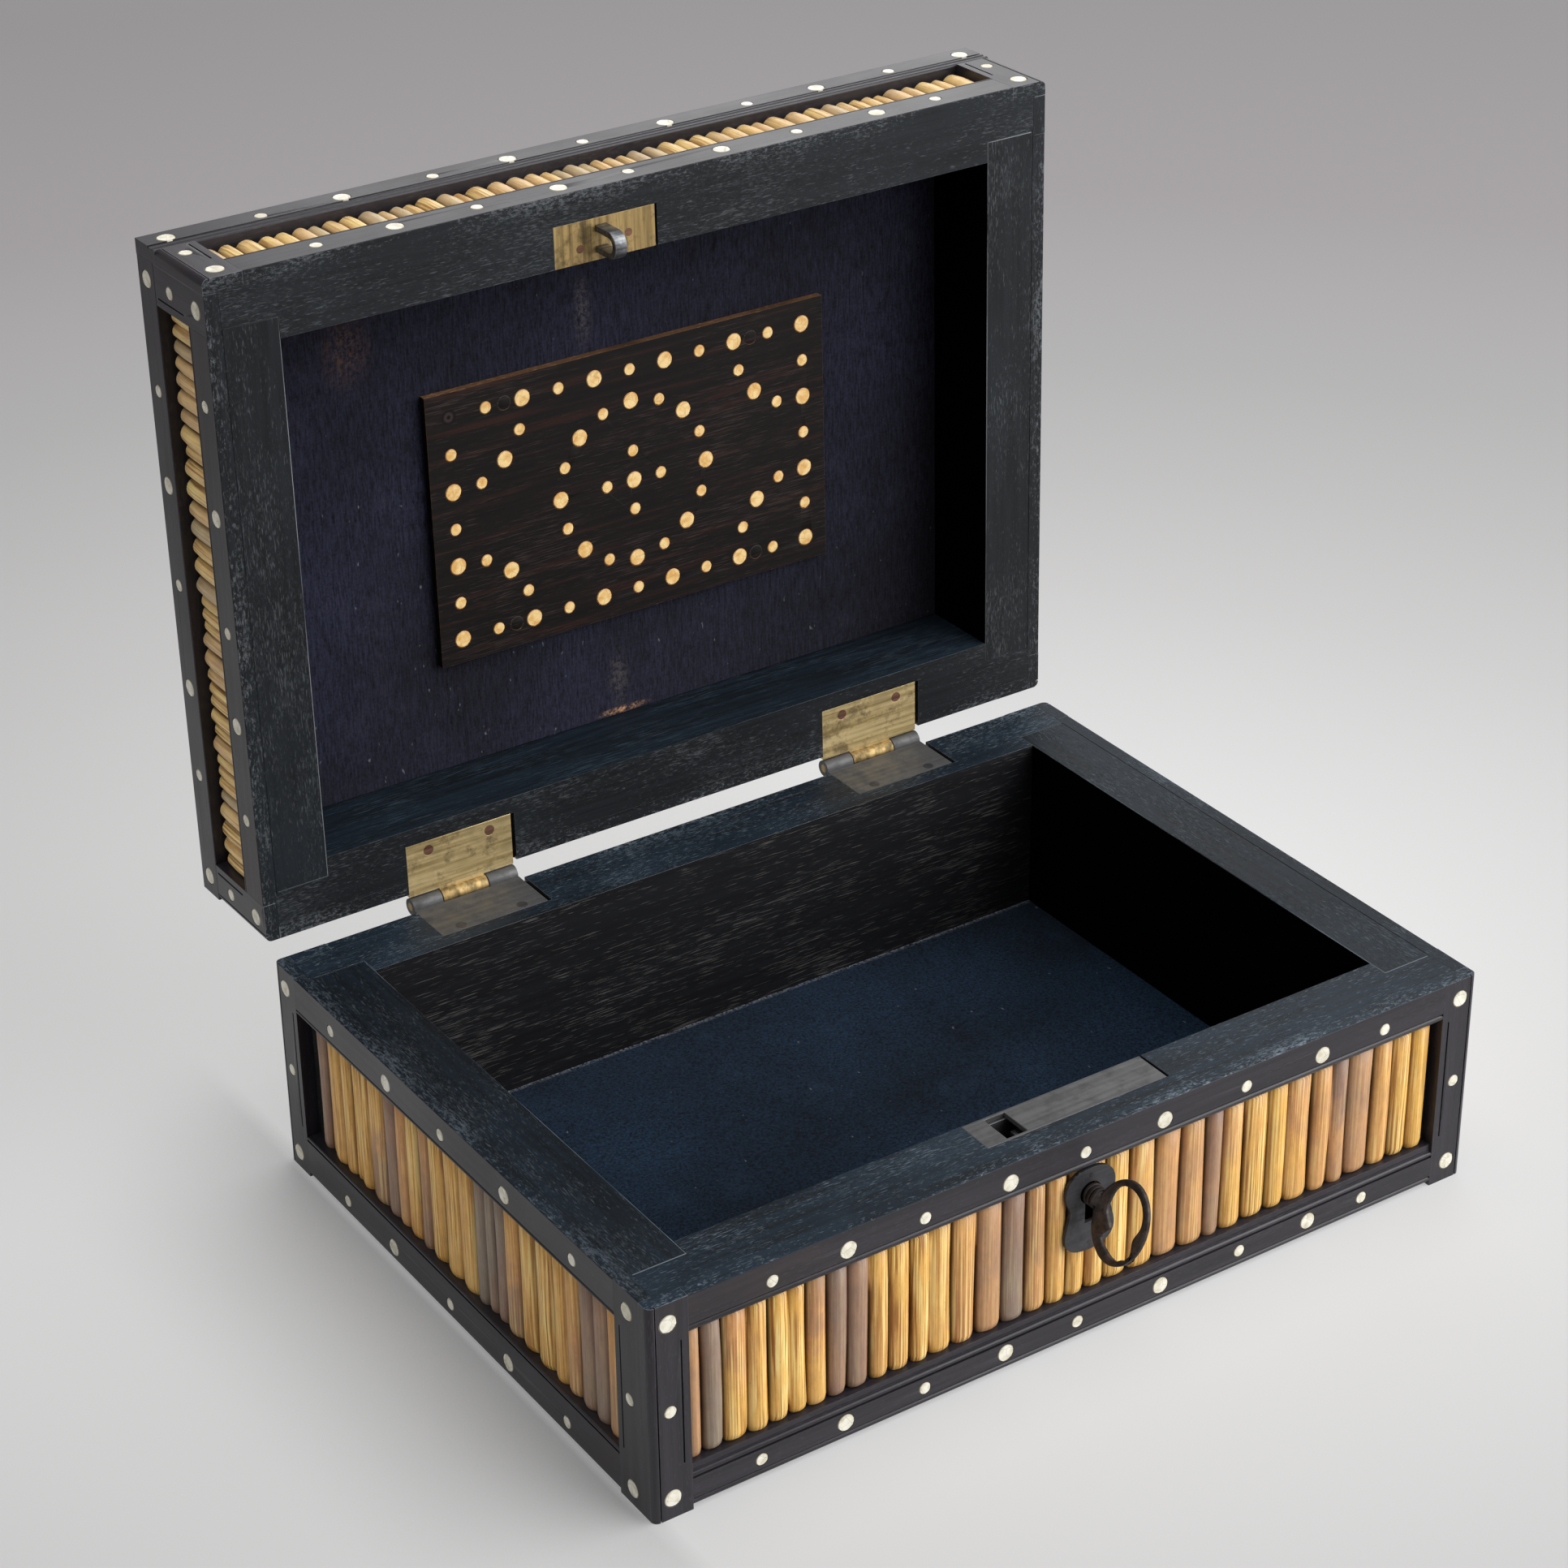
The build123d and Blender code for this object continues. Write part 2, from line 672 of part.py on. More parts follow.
def lock_bolt():
    """Sliding bolt in line with the staple's eye, drawn back; its talon takes the key's bit."""
    half = bolt_thickness / 2
    y_span = (staple_y - half, staple_y + half)
    tip = staple_x + staple_strap_width / 2 + bolt_tip_clearance
    body = block((bolt_left, bolt_right), y_span, (key_height + bolt_low, key_height + bolt_high))
    head = block((tip, bolt_left + 6), y_span, (key_height + bolt_head_low, key_height + bolt_head_high))
    talon_middle = key_x + bolt_travel * (180 + key_rest_turn) / 360
    talon_x = (talon_middle - talon_half_width, talon_middle + talon_half_width)
    talon_z = (key_height + bolt_low - 1, key_height + bolt_low + talon_height)
    talon = block(talon_x, (y_span[0] - 1, y_span[1] + 1), talon_z)
    reach = stump_radius + stump_clearance
    slot_z = (key_height + stump_height - reach, key_height + stump_height + reach)
    slot = block((stump_x - reach, stump_x + bolt_travel + reach), (y_span[0] - 1, y_span[1] + 1), slot_z)
    return body + head - talon - slot


def lock_spring():
    """Bent leaf that bears on the bolt from above, held at the end of the case."""
    low = key_height + bolt_high + spring_lift
    anchor_x = case_right - case_wall - joint_clearance
    high = top_plate_low - spring_thickness
    bends = [
        (anchor_x - 1, high),
        (anchor_x - spring_knee, low + spring_bend_rise),
        (stump_x - spring_rest, low),
        (stump_x - spring_tip, low + spring_tip_rise),
    ]
    strip = Plane.XZ * offset(Polyline(*bends), amount=spring_thickness / 2, side=Side.BOTH)
    strip_face = make_face(strip.edges())
    y_low = staple_y + spring_width / 2
    leaf = Pos(0, y_low, spring_thickness / 2) * extrude(strip_face, amount=spring_width)
    foot_x = (anchor_x - spring_foot_width, anchor_x)
    foot_z = (high - spring_foot_drop, high + spring_thickness / 2)
    return leaf + block(foot_x, (y_low - spring_width, y_low), foot_z)


def hook_staple():
    """U-shaped strap under the lid rim; the bolt goes through its eye."""
    outer, inner = staple_outer_width / 2, staple_outer_width / 2 - staple_strap_thickness
    round_z = lid_rim - staple_drop + outer
    top = lid_rim + staple_tail
    x_span = (staple_x - staple_strap_width / 2, staple_x + staple_strap_width / 2)
    strap = block(x_span, (staple_y - outer, staple_y + outer), (round_z, top))
    strap += lengthwise(staple_y, round_z, outer, x_span)
    wide_x = (x_span[0] - 1, x_span[1] + 1)
    eye = block(wide_x, (staple_y - inner, staple_y + inner), (round_z, top + 1))
    return strap - eye - lengthwise(staple_y, round_z, inner, wide_x)


def staple_room():
    """Holes for the staple's two tails."""
    outer = staple_outer_width / 2
    x_half = staple_strap_width / 2 + joint_clearance
    rooms = []
    for side in (-1, 1):
        near = staple_y + side * (outer - staple_strap_thickness - joint_clearance)
        far = staple_y + side * (outer + joint_clearance)
        y_span = (min(near, far), max(near, far))
        top = lid_rim + staple_tail + joint_clearance
        rooms.append(block((staple_x - x_half, staple_x + x_half), y_span, (lid_rim - 1, top)))
    return rooms


hook_pin_places = [(-22.2, -half_depth + 16.0), (-7.3, -half_depth + 14.5)]


def hook_plate():
    """Plate let into the lid rim round the staple."""
    z_span = (lid_rim, lid_rim + hook_plate_thickness)
    plate = block((hook_plate_left, hook_plate_right), (plate_front, -inner_y), z_span)
    holes = [nail_hole(x, y, lid_rim, 1, hook_pin_radius) for x, y in hook_pin_places]
    return cut(plate, staple_room() + holes)


# ---------------------------------------------------------------- escutcheon and key
def escutcheon():
    """Round-shouldered plate that flares below its waist, lying on the quills."""
    right = [(key_x + half, key_height + rise) for half, rise in escutcheon_side]
    left = [(key_x - half, key_height + rise) for half, rise in reversed(escutcheon_side)]
    crown = [(key_x, key_height + escutcheon_top)]
    foot = [(key_x, key_height + escutcheon_foot)]
    sheet = make_face(Spline(*crown, *right, *foot, *left, periodic=True))
    plate_back = quill_face - joint_clearance
    plate_front_face = plate_back - escutcheon_thickness
    plate = Pos(0, plate_back, 0) * extrude(Plane.XZ * sheet, amount=escutcheon_thickness)
    hole = keyhole((plate_front_face - 1, plate_back + 1))
    return cut(plate, [hole] + [escutcheon_pin(x, z, joint_clearance) for x, z in escutcheon_pin_places()])


def escutcheon_pin_places():
    """One pin above the keyhole and one below it."""
    top = key_height + escutcheon_top - escutcheon_pin_inset
    foot = key_height + escutcheon_foot + escutcheon_pin_inset
    return [(key_x, top), (key_x, foot)]


def escutcheon_pin(x, z, grow=0.0):
    """Pin through the escutcheon and the quills into the skin of board in front of the lock."""
    front = quill_face - escutcheon_thickness - peg_proud
    tip = case_front - case_clearance
    return crosswise(x, z, escutcheon_pin_radius + grow, (front - 5 * grow, tip + grow))


def bow():
    """Oval bow with a kidney-shaped opening, its edges rounded; on an axis at the origin."""
    outline = make_face(Ellipse(bow_reach, bow_rise).edge())
    opening = make_face(Spline(*[(-outwards, up) for outwards, up in bow_opening], periodic=True))
    sheet = Plane.YZ * (outline - opening)
    ring = Pos(-bow_thickness / 2, 0, 0) * extrude(sheet, amount=bow_thickness)
    ring = fillet(ring.edges(), bow_rounding)
    return Pos(0, -half_depth - bow_front_gap - bow_reach, -bow_drop) * ring


def key():
    """Hollow-shanked key in the lock, its bit hanging down but for the turn it was left at."""
    shank_back = case_back - key_tip_gap
    bow_near = -half_depth - bow_front_gap
    shank = crosswise(0, 0, key_shank_radius, (bow_near - bow_rounding, shank_back))
    for step in range(key_collars):
        collar_back = -half_depth - key_collar_start - step * key_collar_pitch
        shank += crosswise(0, 0, key_collar_radius, (collar_back - key_collar_width, collar_back))
    bit_back = case_back - key_bit_end_gap
    half = key_bit_thickness / 2
    shank += block((-half, half), (bit_back - key_bit_width, bit_back), (-key_bit_radius, 0))
    bore = crosswise(0, 0, drill_pin_radius + pin_running_clearance, (case_back - drill_pin_length - 1, 0))
    return Pos(key_x, 0, key_height) * Rot(0, key_rest_turn, 0) * (shank + bow() - bore)


# ---------------------------------------------------------------- lid
lid_openings = {
    "front": (lid_rim + lid_rim_rail, lid_top - lid_front_outer_rail),
    "back": (lid_rim + lid_rim_rail, lid_top - lid_front_outer_rail),
    "left": (lid_rim + lid_rim_rail, lid_top - lid_side_outer_rail),
    "right": (lid_rim + lid_rim_rail, lid_top - lid_side_outer_rail),
}
lid_dot_low = lid_rim + 5.3
lid_dot_high = lid_top - 4.8
lid_dot_middle = lid_rim + lid_height * 0.53
lid_low_wander = {
    "front": (0.8, 4.0, 1.6, 0.6, 0.1, -3.5, 0.8, 0.1, 1.5, -3.7, 1.1),
    "left": (0, 0, -1.5, -4.1, -1.3, -0.2, 0),
}
lid_high_wander = {
    "front": (0.9, 2.7, 1.2, 3.2, 1.0, -0.6, 0.7, 2.4, 0.5, 0.2, 0.1),
    "left": (0, 1.7, -1.5, -0.9, -1.9, -5.1, 0),
}


def lid_boards():
    """Four wall boards under the lid board, jointed as the base's are."""
    z_span = (lid_rim, lid_board_low - joint_clearance)
    side_y = board_y - board + corner_lap
    fit = joint_clearance
    front = block((-board_x, board_x), (-board_y, -inner_y), z_span)
    back = block((-board_x, board_x), (inner_y, board_y), z_span)
    rebates = [
        block((-board_x - 1, -inner_x + fit), (-side_y - fit, side_y + fit), (lid_rim - 1, lid_top)),
        block((inner_x - fit, board_x + 1), (-side_y - fit, side_y + fit), (lid_rim - 1, lid_top)),
    ]
    left = block((-board_x, -inner_x), (-side_y, side_y), z_span)
    right = block((inner_x, board_x), (-side_y, side_y), z_span)
    return cut(front, rebates), cut(back, rebates), left, right


def lid_face(face):
    """Stiles and rails of one lid face; the outer rail runs over the stiles' ends."""
    low, high = panel_span(face)
    long_face = face in ("front", "back")
    count = long_dots if long_face else short_dots
    length = box_length if long_face else box_depth
    wanders = (lid_low_wander.get(face, ()), lid_high_wander.get(face, ()))
    dots = face_dots(length, count, lid_dot_low, lid_dot_high, lid_dot_middle, *wanders)
    dots = end_dots_on_facing(dots, face)
    holes = peg_holes(dots)
    opening = lid_openings[face]
    uprights = stile_pair(face, (lid_rim, opening[1] - joint_clearance), opening)
    rim_top = opening[0]
    rim_rail = rail((low, high), (lid_rim, rim_top), [(rim_top - lip_bead / 2, rim_top)])
    outer_low = opening[1]
    outer_beads = []
    if long_face:
        outer_beads = [(outer_low, outer_low + foot_bead)]
        outer_beads.append((outer_low + foot_bead + quirk, outer_low + 2 * foot_bead + quirk))
    outer_rail = rail(face_spans[face], (outer_low, lid_top), outer_beads)
    stiles = [on_face(face, cut(post, holes)) for post in uprights]
    rails = [on_face(face, cut(bar, holes)) for bar in (rim_rail, outer_rail)]
    quills = [on_face(face, one) for one in quill_row((low, high), opening, lid_quill_width, len(face))]
    return stiles, rails, quills, [on_face(face, peg) for peg in pegs(dots)]


def lid_top_face():
    """Frame and quills on top of the lid, in the top's own frame, where z runs backwards."""
    fit = joint_clearance
    x_span = (facing + fit, box_length - facing - fit)
    y_span = (facing + fit, box_depth - facing - fit)
    inner = (facing + top_frame_width, box_depth - facing - top_frame_width)
    dots = []
    for height in (facing + dot_inset, box_depth - facing - dot_inset):
        for index, place in enumerate(even_row(box_length, long_dots)):
            across = min(max(place, facing + dot_inset), box_length - facing - dot_inset)
            dots.append((across, height, dot_size(index)))
    for index, height in enumerate(even_row(box_depth, short_dots)):
        if 0 < index < short_dots - 1:
            for place in (facing + dot_inset, box_length - facing - dot_inset):
                dots.append((place, height, dot_size(index)))
    holes = peg_holes(dots)
    near = rail(x_span, (y_span[0], inner[0]), [(inner[0] - rail_bead, inner[0])])
    far = rail(x_span, (inner[1], y_span[1]), [(inner[1], inner[1] + rail_bead)])
    between = (inner[0] + fit, inner[1] - fit)
    sides = [
        stile((x_span[0], facing + top_frame_width), between, inner, None, "high"),
        stile((box_length - facing - top_frame_width, x_span[1]), between, inner, None, "low"),
    ]
    frame = [on_face("top", cut(bar, holes)) for bar in [near, far] + sides]
    panel = (facing + top_frame_width, box_length - facing - top_frame_width)
    quills = [on_face("top", one) for one in quill_row(panel, inner, top_quill_width, 5)]
    return frame, quills, [on_face("top", peg) for peg in pegs(dots)]


# ---------------------------------------------------------------- plaque
plaque_low = lid_lining_low - plaque_thickness
plaque_middle = (plaque_offset_x, plaque_offset_y)


def plaque_dots():
    """Pegs in the plaque: a border, an arc in each corner, a ring and a middle cross."""
    x_half, y_half = plaque_length / 2 - plaque_inset, plaque_width / 2 - plaque_inset
    dots = []
    for index in range(long_dots):
        x = -x_half + 2 * x_half * index / (long_dots - 1)
        for y in (-y_half, y_half):
            dots.append((x, y, dot_size(index)))
    for index in range(1, short_dots - 1):
        y = -y_half + 2 * y_half * index / (short_dots - 1)
        for x in (-x_half, x_half):
            dots.append((x, y, dot_size(index)))
    for side_x in (-1, 1):
        for side_y in (-1, 1):
            for index in (1, 2, 3):
                angle = index * pi / 8
                x = side_x * (x_half - plaque_arc_radius * cos(angle))
                y = side_y * (y_half - plaque_arc_radius * sin(angle))
                dots.append((x, y, dot_size(index)))
    for index in range(16):
        angle = index * pi / 8
        dots.append((plaque_ring_radius * cos(angle), plaque_ring_radius * sin(angle), dot_size(index)))
    dots.append((0.0, 0.0, large_dot))
    for x, y in ((1, 0), (-1, 0), (0, 1), (0, -1)):
        dots.append((x * plaque_cross_radius, y * plaque_cross_radius, small_dot))
    lost = (-x_half, -y_half)
    kept = [dot for dot in dots if (dot[0], dot[1]) != lost]
    return [(x + plaque_middle[0], y + plaque_middle[1], radius) for x, y, radius in kept]


def plaque_pin_places():
    """Two pins on each long border."""
    x_off, y_off = plaque_length / 2 - plaque_pin_inset, plaque_width / 2 - plaque_inset
    return [(plaque_middle[0] + i * x_off, plaque_middle[1] + j * y_off) for i in (-1, 1) for j in (-1, 1)]


def plaque_pins(grow=0.0):
    """Dark wooden pins through the plaque and the lining into the lid board."""
    top = lid_board_low + plaque_pin_depth + grow
    return [upright(x, y, plaque_pin_radius + grow, (plaque_low - grow, top)) for x, y in plaque_pin_places()]


def plaque_board():
    """Thin board with a blind hole for each peg."""
    x_span = (plaque_middle[0] - plaque_length / 2, plaque_middle[0] + plaque_length / 2)
    y_span = (plaque_middle[1] - plaque_width / 2, plaque_middle[1] + plaque_width / 2)
    plate = block(x_span, y_span, (plaque_low, lid_lining_low - joint_clearance))
    depth = (plaque_low - 1, plaque_low + plaque_peg_depth + joint_clearance)
    holes = [upright(x, y, radius + joint_clearance, depth) for x, y, radius in plaque_dots()]
    return cut(plate, holes + plaque_pins(joint_clearance))


def plaque_pegs():
    """Bone pegs of the plaque."""
    span = (plaque_low - peg_proud, plaque_low + plaque_peg_depth)
    return [upright(x, y, radius, span) for x, y, radius in plaque_dots()]


# ---------------------------------------------------------------- build and write
def write_base():
    """Every node of the base."""
    front, back, left, right = base_boards()
    leaf_low = base_height - hinge_leaf_thickness - joint_clearance
    mortises = [hinge_mortise(x, (leaf_low, base_height + 1)) for x in (left_hinge_x, right_hinge_x)]
    hinge_nails = []
    hinge_nail_rooms = []
    for x in (left_hinge_x, right_hinge_x):
        for nail_x, nail_y in hinge_nail_places(x, base_nail_reach):
            hinge_nails.append(nail(nail_x, nail_y, base_height, -1))
            hinge_nail_rooms.append(nail_hole(nail_x, nail_y, base_height, -1))
    escutcheon_rooms = [escutcheon_pin(x, z, joint_clearance) for x, z in escutcheon_pin_places()]
    save("base_front_board", cut(front, lock_room() + escutcheon_rooms))
    save("base_back_board", cut(back, mortises + hinge_nail_rooms))
    save("base_left_board", left)
    save("base_right_board", right)
    bottom_x, bottom_y = inner_x + bottom_board_lap, inner_y + bottom_board_lap
    bottom = block((-bottom_x, bottom_x), (-bottom_y, bottom_y), (bottom_board_lift, floor_top))
    save("base_bottom_board", bottom)
    lining_x, lining_y = inner_x - lining_clearance, inner_y - lining_clearance
    lining_z = (floor_top, floor_top + floor_lining_thickness)
    save("base_floor_lining", block((-lining_x, lining_x), (-lining_y, lining_y), lining_z))
    all_pegs = []
    side_quills = []
    for face in face_spans:
        stiles, rails, quills, face_pegs = base_face(face)
        all_pegs += face_pegs
        if face == "front":
            passage = [keyhole((-half_depth - 1, -board_y + 1), joint_clearance)] + escutcheon_rooms
            quills = [cut(one, passage) for one in quills]
        if face == "back":
            rails = [cut(bar, mortises) for bar in rails]
        save(f"base_{face}_stiles", stiles)
        save(f"base_{face}_rails", rails)
        if face in ("left", "right"):
            side_quills += quills
        else:
            save(f"base_{face}_quills", quills)
    save("base_side_quills", side_quills)
    save("base_bone_pegs", all_pegs)
    save("base_hardware_nails", hinge_nails + [lock_pin(x, z) for x, z in lock_nail_places()])


def write_hinges():
    """Leaves and pins; the lid's leaves turn with the lid."""
    for side, x in (("left", left_hinge_x), ("right", right_hinge_x)):
        save(f"{side}_hinge_base_leaf", base_leaf(x))
        save(f"{side}_hinge_lid_leaf", lid_leaf(x), on_lid=True)
    spans = [hinge_middle_spans(x)[0] for x in (left_hinge_x, right_hinge_x)]
    save("hinge_pins", [lengthwise(pin_y, pin_z, hinge_pin_radius, span) for span in spans])


def write_lock():
    """Lock, escutcheon and key."""
    save("lock_top_plate", lock_top_plate())
    save("lock_case", lock_case())
    save("lock_back_plate", lock_back_plate())
    save("lock_bolt", lock_bolt())
    save("lock_spring", lock_spring())
    drill_pin_y = (case_back - drill_pin_length, -inner_y)
    save("lock_drill_pin", crosswise(key_x, key_height, drill_pin_radius, drill_pin_y))
    save("escutcheon", escutcheon())
    save("escutcheon_pins", [escutcheon_pin(x, z) for x, z in escutcheon_pin_places()])
    save("key", key())


def write_lid():
    """Every node of the lid."""
    front, back, left, right = lid_boards()
    leaf_top = lid_rim + hinge_leaf_thickness + joint_clearance
    mortises = [hinge_mortise(x, (lid_rim - 1, leaf_top)) for x in (left_hinge_x, right_hinge_x)]
    nails = []
    nail_rooms = []
    for x in (left_hinge_x, right_hinge_x):
        for nail_x, nail_y in hinge_nail_places(x, lid_nail_reach):
            nails.append(nail(nail_x, nail_y, lid_rim, 1))
            nail_rooms.append(nail_hole(nail_x, nail_y, lid_rim, 1))
    hook_nails = [nail(x, y, lid_rim, 1, hook_pin_radius) for x, y in hook_pin_places]
    hook_rooms = [nail_hole(x, y, lid_rim, 1, hook_pin_radius) for x, y in hook_pin_places]
    plate_room = block(
        (hook_plate_left - joint_clearance, hook_plate_right + plate_end_gap),
        (plate_front - joint_clearance, -inner_y + 1),
        (lid_rim - 1, lid_rim + hook_plate_thickness + joint_clearance),
    )
    save("lid_front_board", cut(front, [plate_room] + staple_room() + hook_rooms), on_lid=True)
    save("lid_back_board", cut(back, mortises + nail_rooms), on_lid=True)
    save("lid_left_board", left, on_lid=True)
    save("lid_right_board", right, on_lid=True)
    top = block((-board_x, board_x), (-board_y, board_y), (lid_board_low, lid_board_top))
    save("lid_top_board", cut(top, plaque_pins(joint_clearance)), on_lid=True)
    lining_x, lining_y = inner_x - lining_clearance, inner_y - lining_clearance
    lining_z = (lid_lining_low, lid_board_low - joint_clearance)
    lining = block((-lining_x, lining_x), (-lining_y, lining_y), lining_z)
    save("lid_lining", cut(lining, plaque_pins(joint_clearance)), on_lid=True)
    all_pegs = []
    side_quills = []
    for face in face_spans:
        stiles, rails, quills, face_pegs = lid_face(face)
        all_pegs += face_pegs
        if face == "back":
            rails = [cut(bar, mortises) for bar in rails]
        save(f"lid_{face}_stiles", stiles, on_lid=True)
        save(f"lid_{face}_rails", rails, on_lid=True)
        if face in ("left", "right"):
            side_quills += quills
        else:
            save(f"lid_{face}_quills", quills, on_lid=True)
    frame, top_quills, top_pegs = lid_top_face()
    save("lid_side_quills", side_quills, on_lid=True)
    save("lid_top_frame", frame, on_lid=True)
    save("lid_top_quills", top_quills, on_lid=True)
    save("lid_bone_pegs", all_pegs + top_pegs, on_lid=True)
    save("lid_hardware_nails", nails + hook_nails, on_lid=True)
    save("hook_plate", hook_plate(), on_lid=True)
    save("hook_staple", hook_staple(), on_lid=True)
    save("plaque_board", plaque_board(), on_lid=True)
    save("plaque_bone_pegs", plaque_pegs(), on_lid=True)
    save("plaque_fixing_pins", plaque_pins(), on_lid=True)


os.makedirs("parts", exist_ok=True)
write_base()
write_hinges()
write_lock()
write_lid()
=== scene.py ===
# Quill and ebony ditty box, lid open: finish and fine shapes over the fixed frame.
import json
import math
import random

import bmesh
import bpy
from mathutils import Matrix, Vector


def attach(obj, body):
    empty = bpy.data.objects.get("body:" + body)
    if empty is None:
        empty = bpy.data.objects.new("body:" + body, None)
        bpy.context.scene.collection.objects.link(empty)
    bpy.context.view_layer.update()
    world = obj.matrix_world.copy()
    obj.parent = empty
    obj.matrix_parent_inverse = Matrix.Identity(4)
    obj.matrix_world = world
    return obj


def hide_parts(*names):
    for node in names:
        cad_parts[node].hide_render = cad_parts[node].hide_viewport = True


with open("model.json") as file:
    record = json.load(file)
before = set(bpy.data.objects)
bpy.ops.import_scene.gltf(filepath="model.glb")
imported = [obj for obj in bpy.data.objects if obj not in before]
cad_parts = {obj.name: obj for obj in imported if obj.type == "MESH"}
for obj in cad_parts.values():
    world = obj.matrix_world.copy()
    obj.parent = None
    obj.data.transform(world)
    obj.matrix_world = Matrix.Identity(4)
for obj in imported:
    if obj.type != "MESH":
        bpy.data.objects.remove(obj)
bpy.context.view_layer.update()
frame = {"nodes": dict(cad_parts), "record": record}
mm = 0.001

box = {  # the box's own sizes, metres
    "length": 260 * mm,
    "depth": 189 * mm,
    "height": 64 * mm,
    "lidHeight": 38 * mm,
    "rimGap": 0.1 * mm,
    "facing": 4.2 * mm,
    "stile": 11.2 * mm,
    "openAngle": 91,  # degrees
    "pinBack": 3.6 * mm,  # from the back face to the hinge pins
    "plaqueFace": 86.8 * mm,  # height of the plaque's face in the shut lid
}
lidRim = box["height"] + box["rimGap"]
lidTop = lidRim + box["lidHeight"]


# small helpers
def setInputs(tree, node, inputs):  # links each socket, and sets each plain value
    for key, value in inputs.items():
        if isinstance(value, bpy.types.NodeSocket):
            tree.links.new(value, node.inputs[key])
        else:
            node.inputs[key].default_value = value


def addNode(tree, kind, inputs=None, **settings):
    node = tree.nodes.new(kind)
    for key, value in settings.items():
        setattr(node, key, value)
    setInputs(tree, node, inputs or {})
    return node


def newMaterial(name):
    material = bpy.data.materials.new(name)
    material.use_nodes = True
    tree = material.node_tree
    return material, tree, tree.nodes["Principled BSDF"]


def colour(hexText):  # six hex digits as written in sRGB, to linear
    values = [int(hexText[i : i + 2], 16) / 255 for i in (0, 2, 4)]
    linear = [v / 12.92 if v <= 0.04045 else ((v + 0.055) / 1.055) ** 2.4 for v in values]
    return (*linear, 1.0)


def ramp(tree, factor, stops, interpolation="LINEAR"):  # stops of a place and a colour
    node = addNode(tree, "ShaderNodeValToRGB", {"Fac": factor})
    node.color_ramp.interpolation = interpolation
    elements = node.color_ramp.elements
    while len(elements) < len(stops):
        elements.new(0.5)
    for element, (place, tint) in zip(elements, stops):
        element.position = place
        element.color = tint if not isinstance(tint, str) else colour(tint)
    return node.outputs["Color"]


def grey(value):
    return (value, value, value, 1.0)


def mixColour(tree, factor, first, second, blend="MIX"):
    inputs = {0: factor, 6: first, 7: second}  # the colour sockets of a Mix node
    return addNode(tree, "ShaderNodeMix", inputs, data_type="RGBA", blend_type=blend).outputs[2]


def maths(tree, operation, first, second=0.0, clamp=False):
    inputs = {0: first, 1: second}
    return addNode(tree, "ShaderNodeMath", inputs, operation=operation, use_clamp=clamp).outputs[0]


def product(tree, first, second):
    return maths(tree, "MULTIPLY", first, second)


def madeObject(name, data):
    thing = bpy.data.objects.new(name, data)
    bpy.context.scene.collection.objects.link(thing)
    return thing


def meshFrom(name, bm):
    mesh = bpy.data.meshes.new(name)
    bm.to_mesh(mesh)
    bm.free()
    return mesh


smoothing = {"sharpAngle": 35, "quillAngle": 60, "flatArea": 40 * mm * mm}


def finishPiece(name, bm, materials, body, slotName, replaced=(), sharpAngle=smoothing["sharpAngle"]):
    mesh = meshFrom(name, bm)
    for material in materials:
        mesh.materials.append(material)
    mesh.polygons.foreach_set("use_smooth", [True] * len(mesh.polygons))
    mesh.set_sharp_from_angle(angle=math.radians(sharpAngle))
    for polygon in mesh.polygons:  # a broad flat face isn't shaded round towards its worn edges
        if polygon.area > smoothing["flatArea"]:
            polygon.use_smooth = False
    piece = madeObject(name, mesh)
    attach(piece, body)
    if replaced:
        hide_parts(*replaced)
    return piece


# where each face lies
def axesMatrix(origin, along, inward, upward):
    matrix = Matrix((along, inward, upward)).transposed().to_4x4()
    matrix.translation = Vector(origin)
    return matrix


halfLength, halfDepth = box["length"] / 2, box["depth"] / 2
unmoved = Matrix.Identity(4)
faceMatrix = {  # x from the left end seen from outside, y inwards, z upwards
    "front": axesMatrix((-halfLength, -halfDepth, 0), (1, 0, 0), (0, 1, 0), (0, 0, 1)),
    "right": axesMatrix((halfLength, -halfDepth, 0), (0, 1, 0), (-1, 0, 0), (0, 0, 1)),
    "back": axesMatrix((halfLength, halfDepth, 0), (-1, 0, 0), (0, -1, 0), (0, 0, 1)),
    "left": axesMatrix((-halfLength, halfDepth, 0), (0, -1, 0), (1, 0, 0), (0, 0, 1)),
    "top": axesMatrix((-halfLength, -halfDepth, lidTop), (1, 0, 0), (0, 0, -1), (0, 1, 0)),
}
faceSpan = {
    "front": (0, box["length"]),
    "right": (box["facing"], box["depth"]),
    "back": (box["facing"], box["length"] - box["facing"]),
    "left": (0, box["depth"] - box["facing"]),
}
toPin = Matrix.Translation((0, halfDepth + box["pinBack"], box["height"] + box["rimGap"] / 2))
openLid = toPin @ Matrix.Rotation(-math.radians(box["openAngle"]), 4, "X") @ toPin.inverted()


# effects that several finishes share
def newGroup(name, inputs, outputs):  # each group takes a Vector first, and all its other sockets are numbers
    group = bpy.data.node_groups.new(name, "ShaderNodeTree")
    group.interface.new_socket("Vector", in_out="INPUT", socket_type="NodeSocketVector")
    for way, names in (("INPUT", inputs), ("OUTPUT", outputs)):
        for socketName in names:
            group.interface.new_socket(socketName, in_out=way, socket_type="NodeSocketFloat")
    return group, group.nodes.new("NodeGroupInput"), group.nodes.new("NodeGroupOutput")


